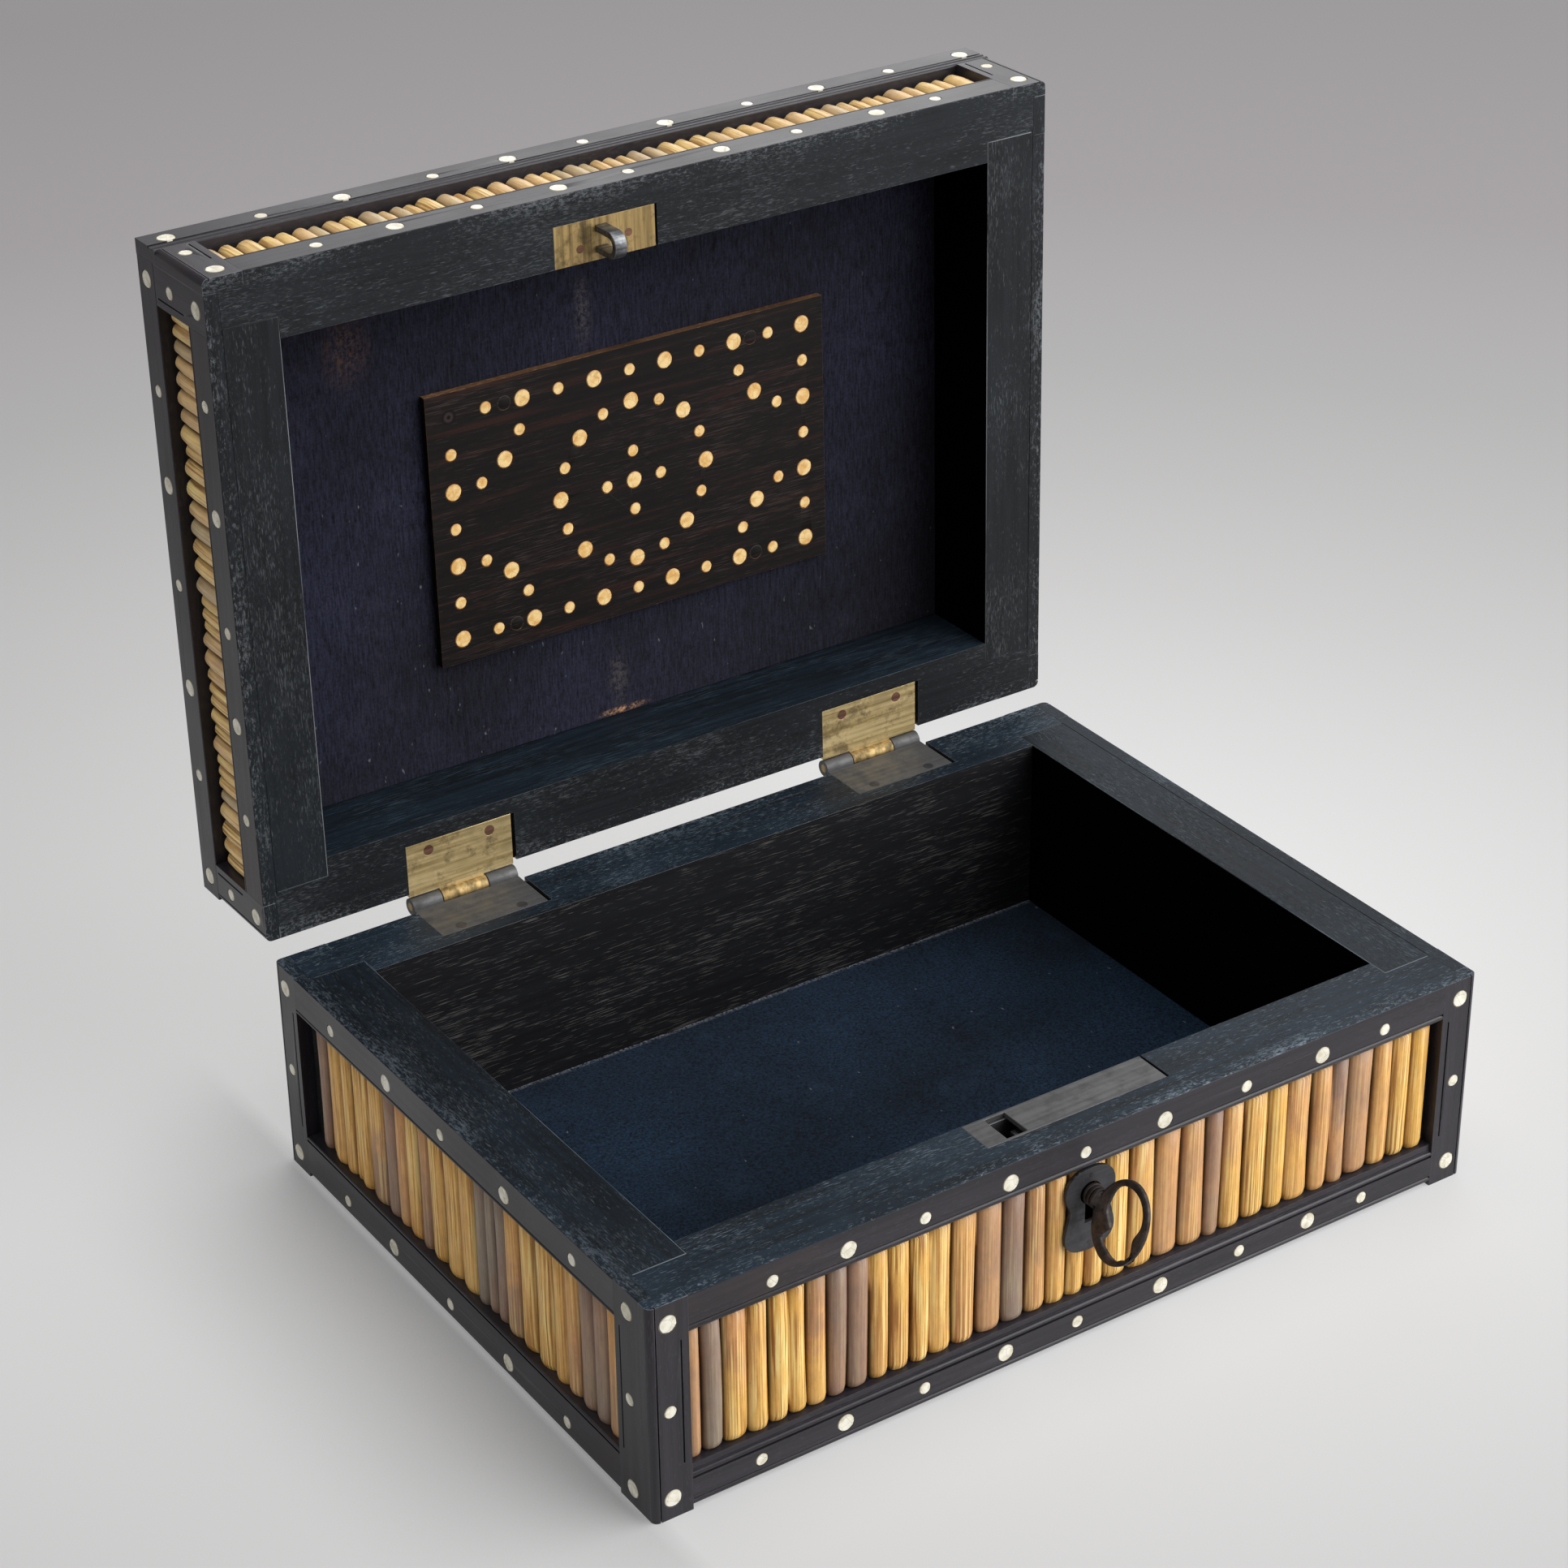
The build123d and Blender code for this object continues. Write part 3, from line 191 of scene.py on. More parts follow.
grainMarks = {  # scale along and across the grain, detail, roughness, where patchy lines start and are full
    "Streaks": (22, 620, 5, 0.6, None),
    "Pores": (140, 4300, 2, 0.6, (0.81, 0.88)),
    "Clouds": (16, 22, 4, 0.6, None),
    "Ticks": (420, 2900, 2, 0.5, (0.81, 0.90)),
    "Scuffs": (600, 1200, 5, 0.8, (0.745, 0.85)),
}
grainPatches = {"along": 26, "across": 60, "detail": 3, "roughness": 0.6, "weight": 0.42}


def noiseAt(tree, vector, scale, detail, rough):
    inputs = {"Vector": vector, "Scale": scale, "Detail": detail, "Roughness": rough}
    return addNode(tree, "ShaderNodeTexNoise", inputs).outputs[0]


def makeGrainGroup():
    group, source, sink = newGroup("woodGrain", (), grainMarks)

    def stretched(along, across, detail, rough):
        inputs = {"Vector": source.outputs["Vector"], "Scale": (along, across, across)}
        mapping = addNode(group, "ShaderNodeMapping", inputs)
        return noiseAt(group, mapping.outputs[0], 1.0, detail, rough)

    shape = [grainPatches[key] for key in ("along", "across", "detail", "roughness")]
    patches = product(group, stretched(*shape), grainPatches["weight"])
    for name, (along, across, detail, rough, patchy) in grainMarks.items():
        mark = stretched(along, across, detail, rough)
        if patchy:  # lines that come in patches
            stops = [(patchy[0], grey(0)), (patchy[1], grey(1))]
            mark = ramp(group, maths(group, "ADD", mark, patches), stops)
        group.links.new(mark, sink.inputs[name])
    return group


def makeNearEdgeGroup():  # 1 at the outer edge of a rectangular frame, falling to 0 over Reach
    group, source, sink = newGroup("nearEdge", ("Half Length", "Half Width", "Reach"), ("Near",))
    parts = addNode(group, "ShaderNodeSeparateXYZ", {"Vector": source.outputs["Vector"]})
    along, across = (maths(group, "ABSOLUTE", parts.outputs[way]) for way in "XY")
    alongGap = maths(group, "SUBTRACT", source.outputs["Half Length"], along)
    acrossGap = maths(group, "SUBTRACT", source.outputs["Half Width"], across)
    gap = maths(group, "MINIMUM", alongGap, acrossGap)
    near = maths(group, "SUBTRACT", 1.0, maths(group, "DIVIDE", gap, source.outputs["Reach"]), True)
    group.links.new(near, sink.inputs["Near"])
    return group


grainGroup = makeGrainGroup()
nearEdgeGroup = makeNearEdgeGroup()


def grainAlong(tree, axis, offset=(0, 0, 0)):  # the grain laid along an axis, at its own place in the noise
    coords = addNode(tree, "ShaderNodeTexCoord")
    turn = {"x": (0, 0, 0), "y": (0, 0, math.radians(90)), "z": (0, math.radians(90), 0)}[axis]
    inputs = {"Vector": coords.outputs["Object"], "Location": offset, "Rotation": turn}
    mapping = addNode(tree, "ShaderNodeMapping", inputs)
    node = addNode(tree, "ShaderNodeGroup", node_tree=grainGroup)
    tree.links.new(mapping.outputs[0], node.inputs["Vector"])
    return node, coords


def softened(tree, value, low, high, most=1.0):  # a value spread from 0 at low to most at high
    inputs = {"Value": value, "From Min": low, "From Max": high, "To Max": most}
    return addNode(tree, "ShaderNodeMapRange", inputs).outputs[0]


def awayFrom(tree, coords, middle, reach, turn=(0, 0, 0)):  # how far off a spot lies, where 1 is its reach
    inputs = {"Vector": coords.outputs["Object"], "Location": middle, "Rotation": turn, "Scale": reach}
    laid = addNode(tree, "ShaderNodeMapping", inputs, vector_type="TEXTURE")
    length = addNode(tree, "ShaderNodeVectorMath", {0: laid.outputs[0]}, operation="LENGTH")
    return length.outputs["Value"]


def edgeMark(tree):  # 1 on the rounded edges of a worn copy
    return addNode(tree, "ShaderNodeAttribute", attribute_name="edge").outputs["Fac"]


def rubbedEdgeAndHighlight(tree, grain, low, high, most):  # worn edges, and on ebony also a painted highlight, broken up by the clouds in the grain
    return product(tree, edgeMark(tree), softened(tree, grain.outputs["Clouds"], low, high, most))


def streaked(tree, grain, dark, light, low=0.38, high=0.62):  # the two tints of a wood, in streaks
    return mixColour(tree, softened(tree, grain.outputs["Streaks"], low, high), colour(dark), colour(light))


def addBump(tree, shader, height, strength, distance):
    bump = addNode(tree, "ShaderNodeBump", {"Strength": strength, "Distance": distance, "Height": height})
    tree.links.new(bump.outputs[0], shader.inputs["Normal"])


ebony = {
    "base": "2b282e",
    "dark": "1e1c21",
    "brown": "3d302c",
    # the pale edge tint is partly wear and partly a painted highlight along the beads
    "edge": "8a8790",
    "tick": "555159",
    "ticked": 0.22,
    "smoothest": 0.29,
    "roughest": 0.45,
    "shine": 0.42,
}


def ebonyMaterial(name, axis):
    material, tree, shader = newMaterial(name)
    grain = grainAlong(tree, axis)[0]
    clouds = grain.outputs["Clouds"]
    tint = streaked(tree, grain, ebony["dark"], ebony["base"], 0.35)
    tint = mixColour(tree, softened(tree, clouds, 0.57, 0.72, 0.5), tint, colour(ebony["brown"]))
    ticks = product(tree, grain.outputs["Ticks"], ebony["ticked"])
    tint = mixColour(tree, ticks, tint, colour(ebony["tick"]))
    # lighter rounded edges: partly wear, partly painted highlight
    tint = mixColour(tree, rubbedEdgeAndHighlight(tree, grain, 0.38, 0.6, 0.6), tint, colour(ebony["edge"]))
    span = {"To Min": ebony["smoothest"], "To Max": ebony["roughest"]}
    uneven = addNode(tree, "ShaderNodeMapRange", {"Value": softened(tree, clouds, 0.3, 0.7), **span})
    looks = {"Base Color": tint, "Roughness": uneven.outputs[0], "Specular IOR Level": ebony["shine"]}
    setInputs(tree, shader, looks)
    addBump(tree, shader, grain.outputs["Streaks"], 0.2, 0.0002)
    return material


rimLooks = {  # light, dark, patch, tick and edge tints, and share of ticks
    "base": ("15212c", "0c141b", "1f2d3a", "7b8893", "8b959d", 0.3),
    "lid": ("181b1f", "0f1215", "1f2429", "717579", "878b8f", 0.27),
}
# rim wear, and a painted shade on the base's side rims
rimWearAndShade = {
    "reach": 5 * mm,  # how far the scuffs come in from the outer edge
    "everywhere": 0.07,
    "atEdge": 0.65,
    "atSideEdge": 0.45,
    "paintedSideShade": 0.42,  # painted shade: the base's left and right rims are darker by this share
    "lidMiddle": box["height"] + box["rimGap"] / 2 + box["pinBack"] + box["depth"] / 2,
}


def rimMaterial(name, axis, part):
    light, dark, patch, tick, edge, ticked = rimLooks[part]
    material, tree, shader = newMaterial(name)
    grain, coords = grainAlong(tree, axis, offset=(0.013, 0.021, 0.034))
    laid = addNode(tree, "ShaderNodeMapping", {"Vector": coords.outputs["Object"]})
    if part == "lid":  # the open lid's rim stands upright
        setInputs(tree, laid, {"Rotation": (-math.pi / 2, 0, 0), "Location": (0, -rimWearAndShade["lidMiddle"], 0)})
    reach = {"Half Length": box["length"] / 2, "Half Width": box["depth"] / 2, "Reach": rimWearAndShade["reach"]}
    group = addNode(tree, "ShaderNodeGroup", node_tree=nearEdgeGroup)
    setInputs(tree, group, {"Vector": laid.outputs[0], **reach})
    near = group.outputs["Near"]
    tint = streaked(tree, grain, dark, light)
    tint = mixColour(tree, softened(tree, grain.outputs["Clouds"], 0.5, 0.7, 0.7), tint, colour(patch))
    tint = mixColour(tree, product(tree, grain.outputs["Ticks"], ticked), tint, colour(tick))
    atSide = part == "base" and axis == "y"
    scuffed = rimWearAndShade["atSideEdge" if atSide else "atEdge"]
    worn = maths(tree, "ADD", product(tree, near, scuffed), rimWearAndShade["everywhere"], True)
    tint = mixColour(tree, product(tree, grain.outputs["Scuffs"], worn), tint, colour(tick))
    joint = maths(tree, "SUBTRACT", near, 1 - box["facing"] / rimWearAndShade["reach"])
    clear = softened(tree, maths(tree, "ABSOLUTE", joint), 0.09, 0.14)  # no rubbed edge at the glued facings
    rubbed = product(tree, rubbedEdgeAndHighlight(tree, grain, 0.4, 0.56, 0.75), clear)
    tint = mixColour(tree, rubbed, tint, colour(edge))
    # painted shade: the base's side rims mixed towards black
    if atSide:
        tint = mixColour(tree, rimWearAndShade["paintedSideShade"], tint, colour("000000"))
    setInputs(tree, shader, {"Base Color": tint, "Roughness": 0.55, "Specular IOR Level": 0.2})
    addBump(tree, shader, maths(tree, "ADD", grain.outputs["Scuffs"], grain.outputs["Streaks"]), 0.3, 0.0003)
    return material


innerLooks = {
    "well": {"base": "15161a", "deep": "0e0e11", "scratch": "625f5c", "scratched": 0.62, "shine": 0.2},
    # the right boards' look is painted shade, near-black in place of their wood
    "dim": {"base": "010101", "deep": "010101", "scratch": "050506", "scratched": 0.4, "shine": 0.03},
    "lidWell": {"base": "14202b", "deep": "0a1117", "scratch": "3c4b57", "scratched": 0.6, "shine": 0.2},
}
innerAxes = {"well": "xy", "dim": "yz", "lidWell": "xz"}  # the ways that each one's grain runs


def innerMaterial(name, axis, look):
    spec = innerLooks[look]
    material, tree, shader = newMaterial(name)
    grain = grainAlong(tree, axis, offset=(0.05, 0.02, 0.01))[0]
    tint = streaked(tree, grain, spec["deep"], spec["base"])
    scratches = product(tree, grain.outputs["Pores"], spec["scratched"])
    tint = mixColour(tree, scratches, tint, colour(spec["scratch"]))
    rubbed = rubbedEdgeAndHighlight(tree, grain, 0.4, 0.6, spec["scratched"])
    tint = mixColour(tree, rubbed, tint, colour(spec["scratch"]))
    setInputs(tree, shader, {"Base Color": tint, "Roughness": 0.65, "Specular IOR Level": spec["shine"]})
    addBump(tree, shader, grain.outputs["Pores"], 0.3, 0.0003)
    return material


metalLooks = {  # light, dark and stain tints, share of spots, roughness, metallic, brushed along
    "brass": ("dfc793", "a38c58", "5a4b34", 0.75, 0.36, 0.65, "x"),
    "hookBrass": ("ab915f", "6f5d3b", "403a2a", 0.6, 0.42, 0.7, "z"),
    "greyBrass": ("5f5f60", "4f4f50", "3c3a39", 0.3, 0.5, 0.55, "x"),
    "steel": ("8e8f92", "54555a", "2c2a2a", 0.5, 0.4, 1.0, "x"),
    "nail": ("7f5a48", "573a2e", "2c1c18", 0.5, 0.5, 0.6, "x"),
    "iron": ("463e3b", "2b2624", "151110", 0.6, 0.4, 0.6, "x"),
    "plate": ("414144", "333336", "1f1e20", 0.4, 0.46, 0.5, "x"),
}


def metalMaterial(look):
    light, dark, stain, spotted, roughness, metallic, axis = metalLooks[look]
    material, tree, shader = newMaterial(look + "Metal")
    grain, coords = grainAlong(tree, axis, offset=(0.2, 0.1, 0.3))
    brushed = ramp(tree, grain.outputs["Streaks"], [(0.36, dark), (0.6, light)])
    blotch = noiseAt(tree, coords.outputs["Object"], 170.0, 6.0, 0.68)
    tint = mixColour(tree, softened(tree, blotch, 0.5, 0.64, spotted), brushed, colour(stain))
    tint = mixColour(tree, product(tree, edgeMark(tree), 0.5), tint, colour(light))
    rough = ramp(tree, blotch, [(0.4, grey(roughness)), (0.65, grey(roughness + 0.25))])
    setInputs(tree, shader, {"Base Color": tint, "Metallic": metallic, "Roughness": rough})
    addBump(tree, shader, blotch, 0.35, 0.0003)
    return material


boneLooks = {
    "bone": {"light": "efebdc", "dark": "cfc8b0", "crack": "6b6350", "rim": "a39a80"},
    "amber": {"light": "f7d695", "dark": "e0ad62", "crack": "9a6a35", "rim": "b5763a"},
}


def boneMaterial(look):
    spec = boneLooks[look]
    material, tree, shader = newMaterial(look + "Disc")
    coords = addNode(tree, "ShaderNodeTexCoord")
    cloud = noiseAt(tree, coords.outputs["Object"], 420.0, 4.0, 0.5)
    tint = ramp(tree, cloud, [(0.35, spec["dark"]), (0.6, spec["light"])])
    scaled = {"Vector": coords.outputs["Object"], "Scale": 300.0}
    cells = addNode(tree, "ShaderNodeTexVoronoi", scaled, feature="DISTANCE_TO_EDGE")
    crack = ramp(tree, cells.outputs["Distance"], [(0.0, grey(1)), (0.03, grey(0))])
    tint = mixColour(tree, product(tree, crack, 0.4), tint, colour(spec["crack"]))
    tint = mixColour(tree, product(tree, edgeMark(tree), 0.7), tint, colour(spec["rim"]))
    setInputs(tree, shader, {"Base Color": tint, "Roughness": 0.35})
    return material


quill = {
    "tints": [  # along the tone scale, from golden to grey
        (0.0, "e6b258"), (0.2, "dfa85d"), (0.4, "d39b62"),
        (0.6, "b48a66"), (0.8, "967765"), (1.0, "8c7d6e"),
    ],
    # painted sheen: a cream tint that lightens the lid's quills in place of the light on them
    "paintedSheen": "f3dca8",
    "lightLine": "ffe79a",
    "darkLine": "9a5f20",
    "speck": "6b4526",
    # painted shade: the side tint darkens each quill towards its edges and rounded ends, where shade falls
    # between the quills
    "side": "3a2414",
    "linesAcross": 2.0,  # noise scales, features in each millimetre
    "linesAlong": 0.028,
    "roughness": 0.4,
}


def quillMaterial():
    material, tree, shader = newMaterial("splitQuill")
    uv = addNode(tree, "ShaderNodeUVMap", uv_map="quillMap").outputs[0]

    def mark(name):
        return addNode(tree, "ShaderNodeAttribute", attribute_name=name).outputs["Fac"]

    def mottle(scale, detail, rough=0.55):
        mapping = addNode(tree, "ShaderNodeMapping", {"Vector": uv, "Scale": scale})
        return noiseAt(tree, mapping.outputs[0], 1.0, detail, rough)

    cloud = maths(tree, "SUBTRACT", mottle((0.16, 0.09, 1), 3), 0.5)
    wavy = maths(tree, "ADD", mark("along"), product(tree, cloud, 1.1))
    eased = ramp(tree, wavy, [(0.25, grey(0)), (0.75, grey(1))], "EASE")
    footTone = mark("toneFoot")
    difference = maths(tree, "SUBTRACT", mark("toneTop"), footTone)
    tone = maths(tree, "ADD", footTone, product(tree, difference, eased))
    tone = maths(tree, "ADD", tone, product(tree, cloud, 0.35), True)
    tint = ramp(tree, tone, quill["tints"])
    # painted sheen: quills mixed towards cream by their share
    tint = mixColour(tree, mark("paintedSheen"), tint, colour(quill["paintedSheen"]))
    blotches = ramp(tree, mottle((0.8, 0.2, 1), 4, 0.7), [(0.3, grey(0.84)), (0.7, grey(1.12))])
    tint = mixColour(tree, 1.0, tint, blotches, "MULTIPLY")
    lines = mottle((quill["linesAcross"], quill["linesAlong"], 1), 2, 0.5)
    region = ramp(tree, mottle((0.25, 0.06, 1), 1), [(0.36, grey(0.3)), (0.52, grey(1))])
    strength = product(tree, mark("stripe"), region)
    darkLine = product(tree, softened(tree, lines, 0.52, 0.58), strength)
    lightLine = product(tree, softened(tree, lines, 0.48, 0.42), strength)
    tint = mixColour(tree, darkLine, tint, colour(quill["darkLine"]))
    tint = mixColour(tree, lightLine, tint, colour(quill["lightLine"]))
    specks = softened(tree, mottle((1.6, 0.9, 1), 2), 0.69, 0.76, 0.4)
    tint = mixColour(tree, specks, tint, colour(quill["speck"]))
    # painted shade along each quill's sides and rounded ends
    side = ramp(tree, mark("side"), [(0.62, grey(0)), (0.86, grey(0.24)), (1.0, grey(0.92))])
    tint = mixColour(tree, side, tint, colour(quill["side"]))
    setInputs(tree, shader, {"Base Color": tint, "Roughness": quill["roughness"]})
    addBump(tree, shader, lines, 0.25, 0.0002)
    return material


clothLooks = {
    "floorCloth": {"light": "112131", "dark": "09131d", "worn": "243342", "sheen": 0.05, "rib": False},
    "lidCloth": {"light": "1e1f2e", "dark": "13131c", "worn": "302c34", "sheen": 0.1, "rib": True},
}
lint = {"tint": "8b8f96", "most": 0.35, "footStart": 72.6 * mm, "footFull": 73.9 * mm, "footMost": 0.55}
seam = {"tint": "0b0b12", "halfWidth": 0.7 * mm, "fullWidth": 0.2 * mm, "fade": 6 * mm, "most": 0.5}


def clothMaterial(look, seams=(), dust=()):
    spec = clothLooks[look]
    material, tree, shader = newMaterial(look)
    coords = addNode(tree, "ShaderNodeTexCoord")

    def noise(scale, detail, rough=0.6, stretch=(1, 1, 1)):
        mapping = addNode(tree, "ShaderNodeMapping", {"Vector": coords.outputs["Object"], "Scale": stretch})
        return noiseAt(tree, mapping.outputs[0], scale, detail, rough)

    tint = ramp(tree, noise(15.0, 5), [(0.36, spec["dark"]), (0.64, spec["light"])])
    nap = noise(1250.0, 5, 0.72)
    if spec["rib"]:  # an upright twill
        ribs = noise(1900.0, 2, 0.6, (1, 1, 0.12))
        nap = maths(tree, "ADD", product(tree, nap, 0.5), product(tree, ribs, 0.5))
    fibre = ramp(tree, nap, [(0.36, grey(0.2)), (0.64, grey(2.0))])
    tint = mixColour(tree, 1.0, tint, fibre, "MULTIPLY")
    tint = mixColour(tree, softened(tree, noise(60.0, 6, 0.75), 0.58, 0.72, 0.3), tint, colour(spec["worn"]))
    loose = softened(tree, noise(620.0, 2, 0.5, (1, 0.45, 0.45)), 0.73, 0.78, lint["most"])
    tint = mixColour(tree, loose, tint, colour(lint["tint"]))
    place = addNode(tree, "ShaderNodeSeparateXYZ", {"Vector": coords.outputs["Object"]})
    if look == "floorCloth":  # pale lint along the back wall
        foot = softened(tree, place.outputs["Y"], lint["footStart"], lint["footFull"])
        foot = product(tree, foot, softened(tree, nap, 0.42, 0.6, lint["footMost"]))
        tint = mixColour(tree, foot, tint, colour(lint["tint"]))
    for x, top in seams:  # faint upright joins in the cloth, below the plaque
        gap = maths(tree, "ABSOLUTE", maths(tree, "SUBTRACT", place.outputs["X"], x))
        below = softened(tree, place.outputs["Z"], top, top - seam["fade"])
        join = product(tree, softened(tree, gap, seam["halfWidth"], seam["fullWidth"], seam["most"]), below)
        tint = mixColour(tree, join, tint, colour(seam["tint"]))
    for x, height, halfWide, halfTall, hexText, most in dust:
        away = awayFrom(tree, coords, (x, halfDepth, height), (halfWide, 1, halfTall))
        broken = softened(tree, noise(700.0, 4, 0.8), 0.44, 0.62, most)
        tint = mixColour(tree, product(tree, softened(tree, away, 1.0, 0.3), broken), tint, colour(hexText))
    setInputs(tree, shader, {"Base Color": tint, "Roughness": 0.95, "Specular IOR Level": 0.1})
    setInputs(tree, shader, {"Sheen Weight": spec["sheen"], "Sheen Roughness": 0.5})
    addBump(tree, shader, nap, 0.5, 0.0003)
    return material


lidSeams = ((-52 * mm, 122 * mm), (69 * mm, 122 * mm))  # place along the lid, and top end
lidDust = (  # place along the lid, height with the lid open, half width, half height, tint, strength
    (-80 * mm, 217 * mm, 9 * mm, 12 * mm, "5a4436", 0.5),
    (-8 * mm, 212 * mm, 3.5 * mm, 13 * mm, "56504f", 0.6),
    (-2 * mm, 99 * mm, 4 * mm, 11 * mm, "56504f", 0.6),
    (-1 * mm, 88.8 * mm, 10 * mm, 1.3 * mm, "c08f68", 1.0),
)
plaqueWood = {
    "tints": [(0.38, "0c0807"), (0.55, "130e0d"), (0.68, "2a1610")],
    "scratch": "453a36",
    "scratched": 0.45,
    "splinter": "b98a62",
    "splintered": 0.85,
    "plugRim": "6a6560",
    "plugRimmed": 0.5,
}
lostPeg = {
    "x": -52.2 * mm,
    "y": -31 * mm,
    "radius": 2.3 * mm,
    # the near-black middle is painted shade in the screw hole
    "tints": [(0.2, "040303"), (0.35, "3b2e2d"), (0.6, "2a2120"), (0.75, "050404"), (0.9, "050404")],
}


def plaqueMaterial(name, split, strength, lost=None):
    material, tree, shader = newMaterial(name)
    grain, coords = grainAlong(tree, "x", offset=(0.3, 0.1, 0.2))
    streaks = grain.outputs["Streaks"]
    tint = ramp(tree, streaks, plaqueWood["tints"])
    scratches = product(tree, grain.outputs["Pores"], plaqueWood["scratched"])
    tint = mixColour(tree, scratches, tint, colour(plaqueWood["scratch"]))
    splits = softened(tree, grain.outputs["Clouds"], 0.38, 0.5, 0.4)
    splits = maths(tree, "ADD", splits, grain.outputs["Ticks"], True)
    broken = product(tree, edgeMark(tree), product(tree, splits, strength))
    tint = mixColour(tree, broken, tint, colour(split))
    if lost:  # the plugged hole that a missing peg left; its near-black middle is painted shade in the screw hole, and a near-black ring runs round it
        middle = openLid @ Vector((lost["x"], lost["y"], box["plaqueFace"]))
        away = awayFrom(tree, coords, middle, (lost["radius"],) * 3)
        tint = mixColour(tree, softened(tree, away, 1.0, 0.9, 0.9), tint, ramp(tree, away, lost["tints"]))
    setInputs(tree, shader, {"Base Color": tint, "Roughness": 0.6, "Specular IOR Level": 0.16})
    addBump(tree, shader, streaks, 0.15, 0.0002)
    return material


print("finishes")
finish = {
    "bone": boneMaterial("bone"),
    "amber": boneMaterial("amber"),
    "quill": quillMaterial(),
    "floorCloth": clothMaterial("floorCloth"),
    "lidCloth": clothMaterial("lidCloth", lidSeams, lidDust),
    "plaque": plaqueMaterial("plaqueWood", plaqueWood["splinter"], plaqueWood["splintered"], lostPeg),
    "plug": plaqueMaterial("plaquePlug", plaqueWood["plugRim"], plaqueWood["plugRimmed"]),
}
for axis in "xyz":
    finish["ebony" + axis] = ebonyMaterial("ebonyAlong" + axis.upper(), axis)
for look, axes in innerAxes.items():
    for axis in axes:
        finish[look + axis] = innerMaterial(look + "Along" + axis.upper(), axis, look)
for axis, part in (("x", "base"), ("y", "base"), ("x", "lid"), ("z", "lid")):
    finish[part + "Rim" + axis] = rimMaterial(f"{part}RimAlong{axis.upper()}", axis, part)
for look in metalLooks:
    finish[look] = metalMaterial(look)


# worn copies of the construction pieces
merging = {"distance": 1e-6, "flatWithin": 1.5, "sharpOver": 40}  # metres, degrees, degrees


def mergedMesh(node):
    bm = bmesh.new()
    bm.from_mesh(frame["nodes"][node].data)
    bmesh.ops.remove_doubles(bm, verts=bm.verts, dist=merging["distance"])
    flat = math.radians(merging["flatWithin"])
    bmesh.ops.dissolve_limit(bm, angle_limit=flat, verts=bm.verts, edges=bm.edges)
    return bm


def slotOf(node):
    return next(row["material_slot"] for row in frame["record"]["subparts"] if row["node"] == node)


def bodyOf(node):
    return next(name for name, nodes in frame["record"]["behaviour"]["bodies"].items() if node in nodes)


def isSharp(edge):
    outward = edge.is_manifold and edge.is_convex
    return outward and edge.calc_face_angle(0) > math.radians(merging["sharpOver"])


rub = {"board": 0.3 * mm, "facing": 0.25 * mm, "metal": 0.2 * mm, "key": 0.15 * mm}  # how far edges are worn


# rounds the sharp edges of a copy and marks them as rubbed
def wornCopy(node, materials, worn=rub["facing"], pick=None, reshape=None):
    bm = mergedMesh(node)
    if reshape:
        reshape(bm)
    sharp = [edge for edge in bm.edges if isSharp(edge)]
    mark = bm.faces.layers.float.new("edge")
    made = bmesh.ops.bevel(
        bm,
        geom=sharp,
        offset=worn,
        offset_type="OFFSET",
        affect="EDGES",
        segments=2,
        profile=0.5,
        material=-1,
        clamp_overlap=True,
    )
    for face in made["faces"]:
        face[mark] = 1.0
    if pick:
        for face in bm.faces:
            face.material_index = pick(face)
    return finishPiece("worn_" + node, bm, materials, bodyOf(node), slotOf(node), (node,))


print("boards")
longAxis = {  # the way the grain runs in each side's boards and rails
    "base": {"front": "x", "back": "x", "left": "y", "right": "y"},
    "lid": {"front": "x", "back": "x", "left": "z", "right": "z"},
}
uprightAxis = {"base": "z", "lid": "y"}
wellLook = {"base": "well", "lid": "lidWell"}  # but both right boards get a near-black painted shade


rimFaces = {"flatOver": 0.5, "within": 0.6 * mm}  # how level a face lies, and how near the rim's height


def facesRim(part):  # which faces of a board or facing lie in its part's rim
    undo = openLid.inverted() if part == "lid" else unmoved
    way = -1 if part == "lid" else 1
    level = lidRim if part == "lid" else box["height"]

    def pick(face):
        flat = way * (undo.to_3x3() @ face.normal).z > rimFaces["flatOver"]
        return int(flat and abs((undo @ face.calc_center_median()).z - level) < rimFaces["within"])

    return pick


for part in ("base", "lid"):
    for side, axis in longAxis[part].items():
        # the inner right walls get the painted shade
        look = "dim" if side == "right" else wellLook[part]
        looks = [finish[look + axis], finish[part + "Rim" + axis]]
        wornCopy(f"{part}_{side}_board", looks, rub["board"], facesRim(part))
wornCopy("base_bottom_board", [finish["wellx"]])
wornCopy("lid_top_board", [finish["wellx"]])

print("facings")
for part in ("base", "lid"):
    for side, axis in longAxis[part].items():
        rimLook = finish[part + "Rim" + axis]
        wornCopy(f"{part}_{side}_stiles", [finish["ebony" + uprightAxis[part]], rimLook], pick=facesRim(part))
        wornCopy(f"{part}_{side}_rails", [finish["ebony" + axis], rimLook], pick=facesRim(part))
wornCopy("lid_top_frame", [finish["ebonyx"]])


# quills
quillShape = {
    "acrossSteps": 10,
    "rows": (0, 0.012, 0.035, 0.075, 0.35, 0.68, 0.96, 1.0),
    "bullet": 0.075,  # share of the length that is rounded at the foot
    "blunt": 0.04,  # the same at the head
    "endWidth": 0.62,  # share of its width that each end keeps
    "crown": 2.8 * mm,
    "flattest": 0.93,  # share of that height that the flattest quill has
    "lean": 0.4 * mm,
    "bow": 0.8 * mm,
    "taper": 0.07,
    "seat": box["facing"],
    "fullness": 0.965,  # share of its room that a quill fills
    "patternReach": 400,
}


def eitherWay(rng, most):
    return rng.uniform(-most, most)


